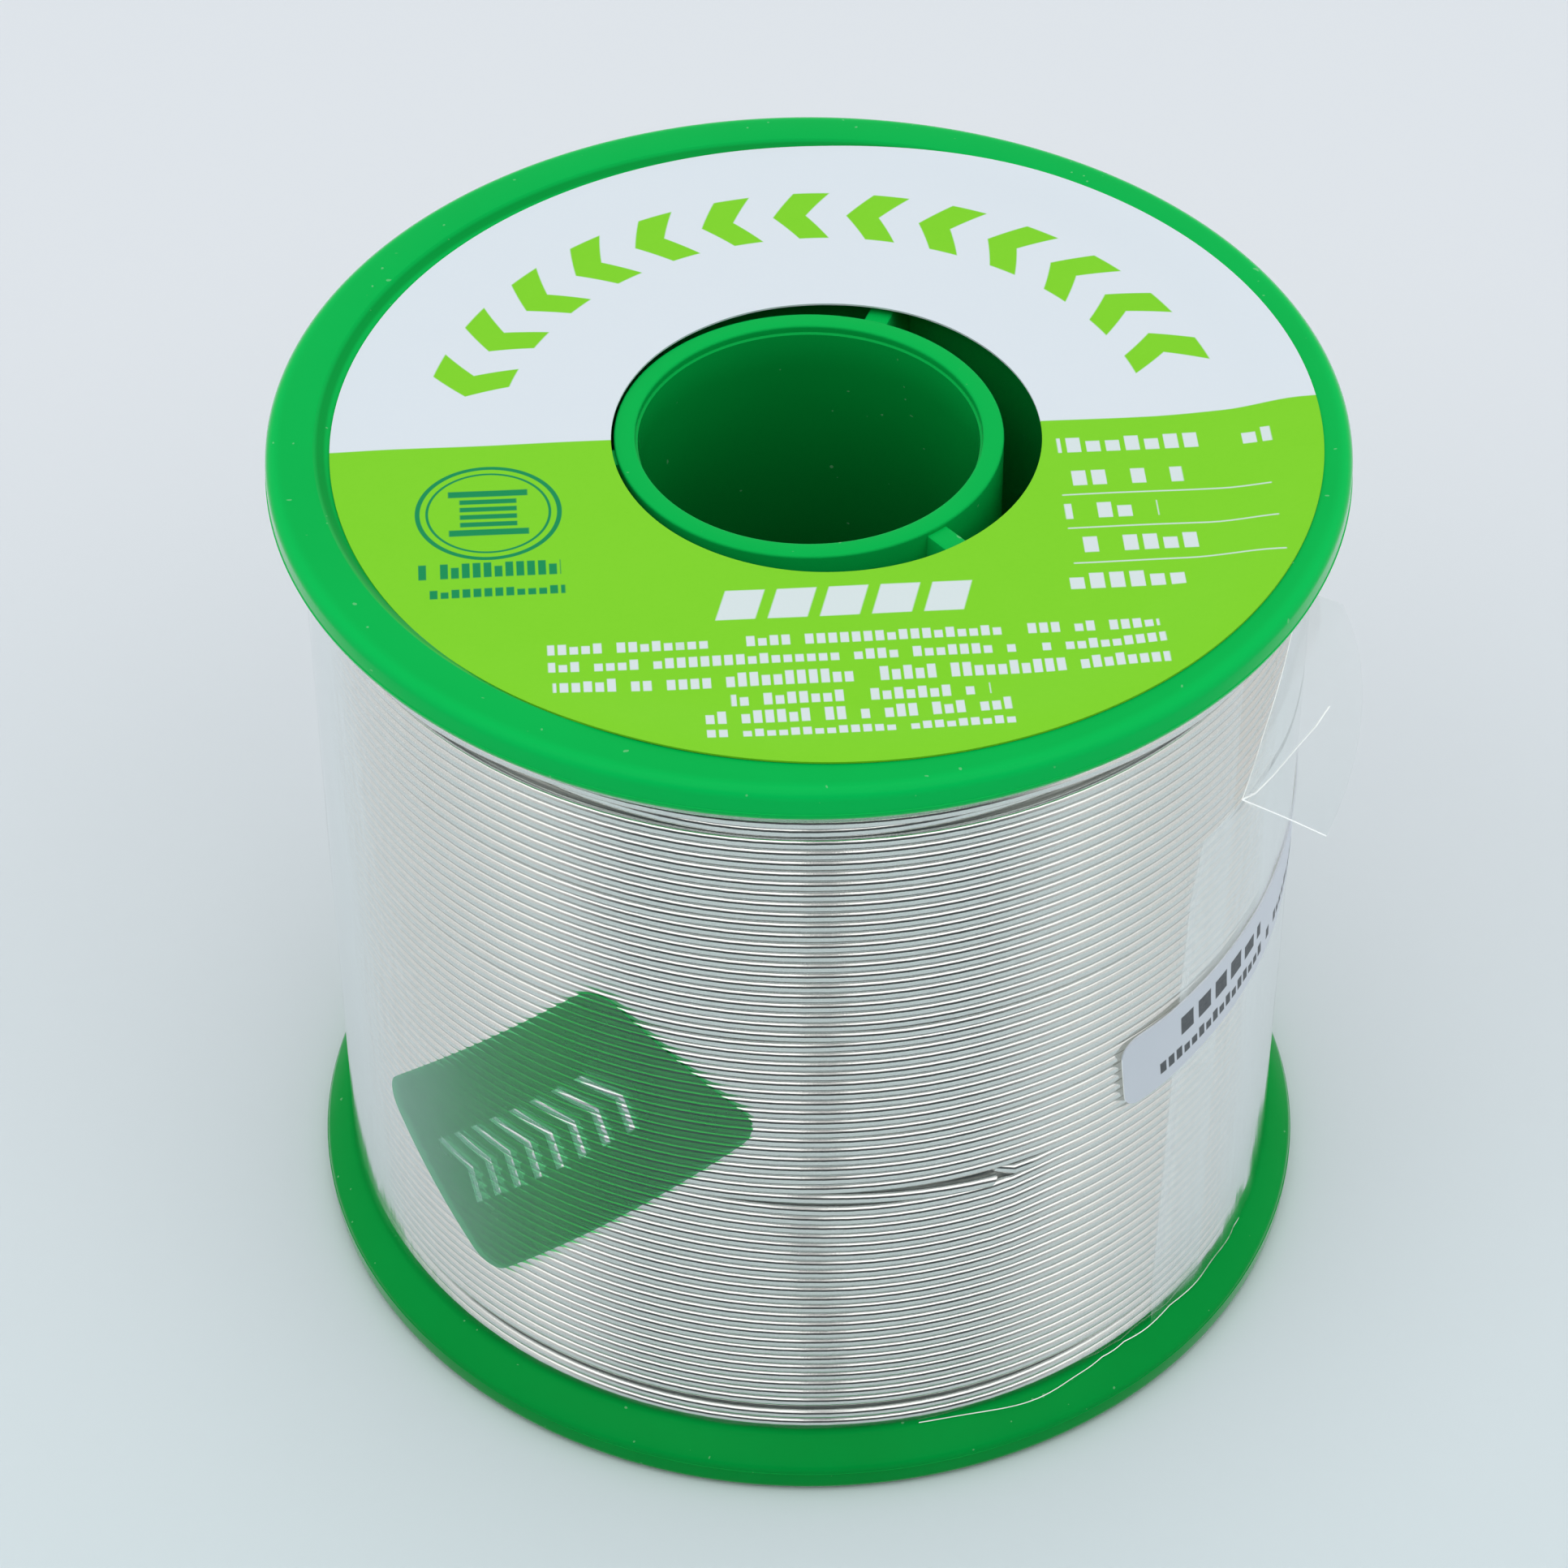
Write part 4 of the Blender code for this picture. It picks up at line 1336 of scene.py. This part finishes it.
def sticker_axes(shader, sticker):
    """The sticker's own run and rise at a point of it."""
    x, y, z, place = shader.place()
    around = (shader.math("ARCTAN2", x, -y) - sticker["angle"]) * FILM_RADIUS
    up = z - sticker["height"]
    cos, sin = math.cos(sticker["tilt"]), math.sin(sticker["tilt"])
    return around * cos + up * sin, up * cos - around * sin, place


def green_sticker_material(colours):
    shader = new_shader("green_printed_film")
    run, rise, place = sticker_axes(shader, GREEN_STICKER)
    travel = run + abs(rise) * MARK_SLANT
    local = (travel + MARK_HALF_LENGTH) % MARK_PITCH - MARK_PITCH / 2
    marks = (
        shader.fade(abs(local), *MARK_STROKE)
        * shader.inside(rise, -MARK_HALF_HEIGHT, MARK_HALF_HEIGHT, PRINT_SOFT)
        * shader.inside(travel, -MARK_HALF_LENGTH, MARK_HALF_LENGTH, 0.05 * MM)
    )
    cloudy = shader.noise(place, 3 * MM, 3.0)
    normal = shader.bump(cloudy, 0.05 * MM, 0.5)
    sheen = shader.principled(
        base_color=shader.mix(cloudy * 0.4, colours.green_film, PALE_SHEEN),
        roughness=0.22 + 0.08 * cloudy,
        normal=normal,
    )
    outside = shader.facing_out(place)
    # Milky haze of the film, partly painted reflection: the pale sheen is mixed in more at a glance
    milky = 0.13 + 0.04 * cloudy + 0.37 * shader.glancing(0.38, 0.74)
    glass = shader.clear(colours.green_glass)
    tinted = shader.mix_shaders(milky * outside, glass, sheen)
    bare = shader.mix_shaders((milky + 0.10) * outside, shader.clear(), sheen)
    return shader.output(shader.mix_shaders(marks, tinted, bare))


# Painted glow on the white paper's under side, for light that comes through it
THROUGH_PAPER = (0.26, 0.27, 0.25)
# Blank lines of print on it, given as on the label
LARGE_LINE = ((0.75, 1.6, -10.2, -1.0),)
SMALL_LINE = ((-1.45, 0.95, -12.6, 9.5),)


def white_sticker_material(colours):
    shader = new_shader("white_sticker_paper")
    run, rise, place = sticker_axes(shader, WHITE_STICKER)
    large = printed_lines(shader, run, rise, LARGE_LINE, 1.75 * MM, 5.0)
    small = printed_lines(shader, run, rise, SMALL_LINE, 0.72 * MM, 9.0)
    grain = shader.noise(place, 0.25 * MM, 3.0)
    ink = shader.either(large, small) * (0.86 + 0.12 * grain)
    under = shader.facing_in(place)
    return shader.paint(
        base_color=shader.mix(ink, colours.paper, colours.ink),
        # Painted glow on the under side only
        emission_color=shader.mix(under, (0.0, 0.0, 0.0), THROUGH_PAPER),
        emission_strength=1.0,
        roughness=0.5 + 0.1 * grain,
        normal=shader.bump(grain, 0.01 * MM, 0.5),
        specular_ior_level=0.35,
    )


def new_sticker(name, sticker, lift, material):
    grid = sticker_grid(sticker, lift)
    return new_piece(name, grid, quads(*grid.shape[:2], False, False), material)


def green_lift(run, rise):
    """Nearly flat, with a soft crease, and clear of the film's own ripples."""
    return GREEN_LIFT + GREEN_RIPPLE * waves(run * 200 + rise * 120, 3, 2)


def white_lift(run, rise):
    """Its upper edge and its left end stand a little off the film."""
    top = ease(rise, 0.5 * MM, WHITE_STICKER["width"] / 2)
    start = -WHITE_STICKER["length"] / 2
    left = 1 - ease(run, start, start + WHITE_LEFT_SPAN)
    return WHITE_LIFT + WHITE_TOP_LIFT * top + WHITE_LEFT_LIFT * left


class SPOOL_OT_stickers(bpy.types.Operator):
    """Puts the green film sticker and the white paper sticker on the film"""

    bl_idname = "solder_spool.stickers"
    bl_label = "Stickers"

    def execute(self, context):
        colours = context.scene.solder_spool_colours
        green = new_sticker(
            "green_film_tag", GREEN_STICKER, green_lift, green_sticker_material(colours)
        )
        place_piece(green, "green_film_sticker")
        white = new_sticker(
            "white_paper_tag", WHITE_STICKER, white_lift, white_sticker_material(colours)
        )
        thicken(white, WHITE_THICKNESS)
        place_piece(white, "white_paper_sticker")
        return {"FINISHED"}


# ---------------------------------------------------------------- studio

CAMERA_PLACE = (0.0, -0.2284, 0.23984)
CAMERA_AIM = (0.0, 0.0, 0.03035)
CAMERA_LENS = 113.43
CAMERA_SHIFT = -0.0159
FLOOR_RADII = (0.01, 0.2, 1.5)
FLOOR_SIDES = 64
FLOOR_DROP = 0.02 * MM


def floor_material(colours):
    shader = new_shader("pale_floor")
    _, y, _, place = shader.place()
    # Painted light: the floor before the spool is brightened, and it is more teal
    near = shader.fade(y, -0.14, 0.10)
    cloudy = shader.noise(place, 60 * MM, 2.0)
    base = shader.mix(near * 0.9 + 0.1 * cloudy, colours.floor, colours.floor_near_brightened)
    return shader.paint(base_color=base, roughness=0.8, specular_ior_level=0.2)


SIDE_LIGHT = 0.82
FRONT_LIGHT = 1.80
TOP_LIGHT = 1.90
FRONT_SHADE = 0.97
STRIP_SHADE = 0.70
# Where the lights begin and end, by height above the horizon and by angle from the front
BOX_LIFT = (36 * DEG, 64 * DEG)
BOX_SIDE = (48 * DEG, 105 * DEG)
TOP_LIFT = (68 * DEG, 75 * DEG)
DARK_LIFT = (30 * DEG, 36 * DEG)
DARK_SIDE = (32 * DEG, 62 * DEG)


def studio_light(shader):
    """Light from each direction: overhead, a high softbox in front, a dark room under it."""
    direction = shader.node("ShaderNodeTexCoord", {}, {}, "Generated")
    x, y, z = shader.split(direction)
    side = abs(shader.math("ARCTAN2", x, -y))
    lift = shader.math("ARCSINE", z)
    box = shader.inside(lift, *BOX_LIFT, 3 * DEG) * shader.fade(side, *BOX_SIDE)
    top = shader.smooth(lift, *TOP_LIFT)
    dark = shader.fade(lift, *DARK_LIFT) * shader.fade(side, *DARK_SIDE)
    strip = shader.inside(x, -0.01, 0.10, 0.03) * box
    level = SIDE_LIGHT + (FRONT_LIGHT - SIDE_LIGHT) * box + (TOP_LIGHT - SIDE_LIGHT) * top
    return level * (1 - FRONT_SHADE * dark) * (1 - STRIP_SHADE * strip)


class SPOOL_OT_studio(bpy.types.Operator):
    """Sets up the floor, the soft light and the camera"""

    bl_idname = "solder_spool.studio"
    bl_label = "Studio"

    def execute(self, context):
        colours = context.scene.solder_spool_colours
        scene = context.scene
        self.add_floor(colours)
        shader = Shader(bpy.data.worlds.new("studio"))
        background = shader.tree.nodes["Background"]
        background.inputs["Color"].default_value = (1.0, 1.0, 1.0, 1.0)
        level = studio_light(shader)
        shader.tree.links.new(level.socket, background.inputs["Strength"])
        scene.world = shader.owner
        scene.view_settings.view_transform = "Standard"
        self.add_camera(scene)
        return {"FINISHED"}

    def add_floor(self, colours):
        turns = full_turn(FLOOR_SIDES)
        grid = np.stack([on_drum(turns, radius, -FLOOR_DROP) for radius in FLOOR_RADII])
        faces = quads(*grid.shape[:2], False, True) + [list(range(FLOOR_SIDES))]
        floor = new_piece("floor", grid, faces, floor_material(colours))

    def add_camera(self, scene):
        camera = bpy.data.cameras.new("camera")
        camera.lens = CAMERA_LENS
        camera.shift_x = CAMERA_SHIFT
        obj = bpy.data.objects.new("camera", camera)
        obj.location = CAMERA_PLACE
        aim = Vector(CAMERA_AIM) - Vector(CAMERA_PLACE)
        obj.rotation_euler = aim.to_track_quat("-Z", "Y").to_euler()
        scene.collection.objects.link(obj)
        scene.camera = obj


# ---------------------------------------------------------------- panel and start

BUILD_STEPS = (
    SPOOL_OT_mouldings,
    SPOOL_OT_label,
    SPOOL_OT_wire,
    SPOOL_OT_film,
    SPOOL_OT_stickers,
    SPOOL_OT_studio,
)


class SPOOL_PT_panel(bpy.types.Panel):
    """Lists the steps that build the spool, and its colours"""

    bl_label = "Solder wire spool"
    bl_idname = "SPOOL_PT_panel"
    bl_space_type = "VIEW_3D"
    bl_region_type = "UI"
    bl_category = "Solder Spool"

    def draw(self, context):
        for step in BUILD_STEPS:
            self.layout.operator(step.bl_idname)
        for group in (context.scene.solder_spool_sizes, context.scene.solder_spool_colours):
            box = self.layout.box()
            for name in group.__annotations__:
                box.prop(group, name)


CLASSES = (SpoolSizes, SpoolColours, *BUILD_STEPS, SPOOL_PT_panel)


def register():
    for cls in CLASSES:
        bpy.utils.register_class(cls)
    bpy.types.Scene.solder_spool_sizes = PointerProperty(type=SpoolSizes)
    bpy.types.Scene.solder_spool_colours = PointerProperty(type=SpoolColours)


def unregister():
    del bpy.types.Scene.solder_spool_colours
    del bpy.types.Scene.solder_spool_sizes
    for cls in reversed(CLASSES):
        bpy.utils.unregister_class(cls)


def main():
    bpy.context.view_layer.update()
    register()
    bpy.ops.solder_spool.mouldings()
    bpy.ops.solder_spool.label()
    bpy.ops.solder_spool.wire()
    bpy.ops.solder_spool.film()
    bpy.ops.solder_spool.stickers()
    bpy.ops.solder_spool.studio()
    bpy.context.view_layer.update()


if __name__ == "__main__":
    main()
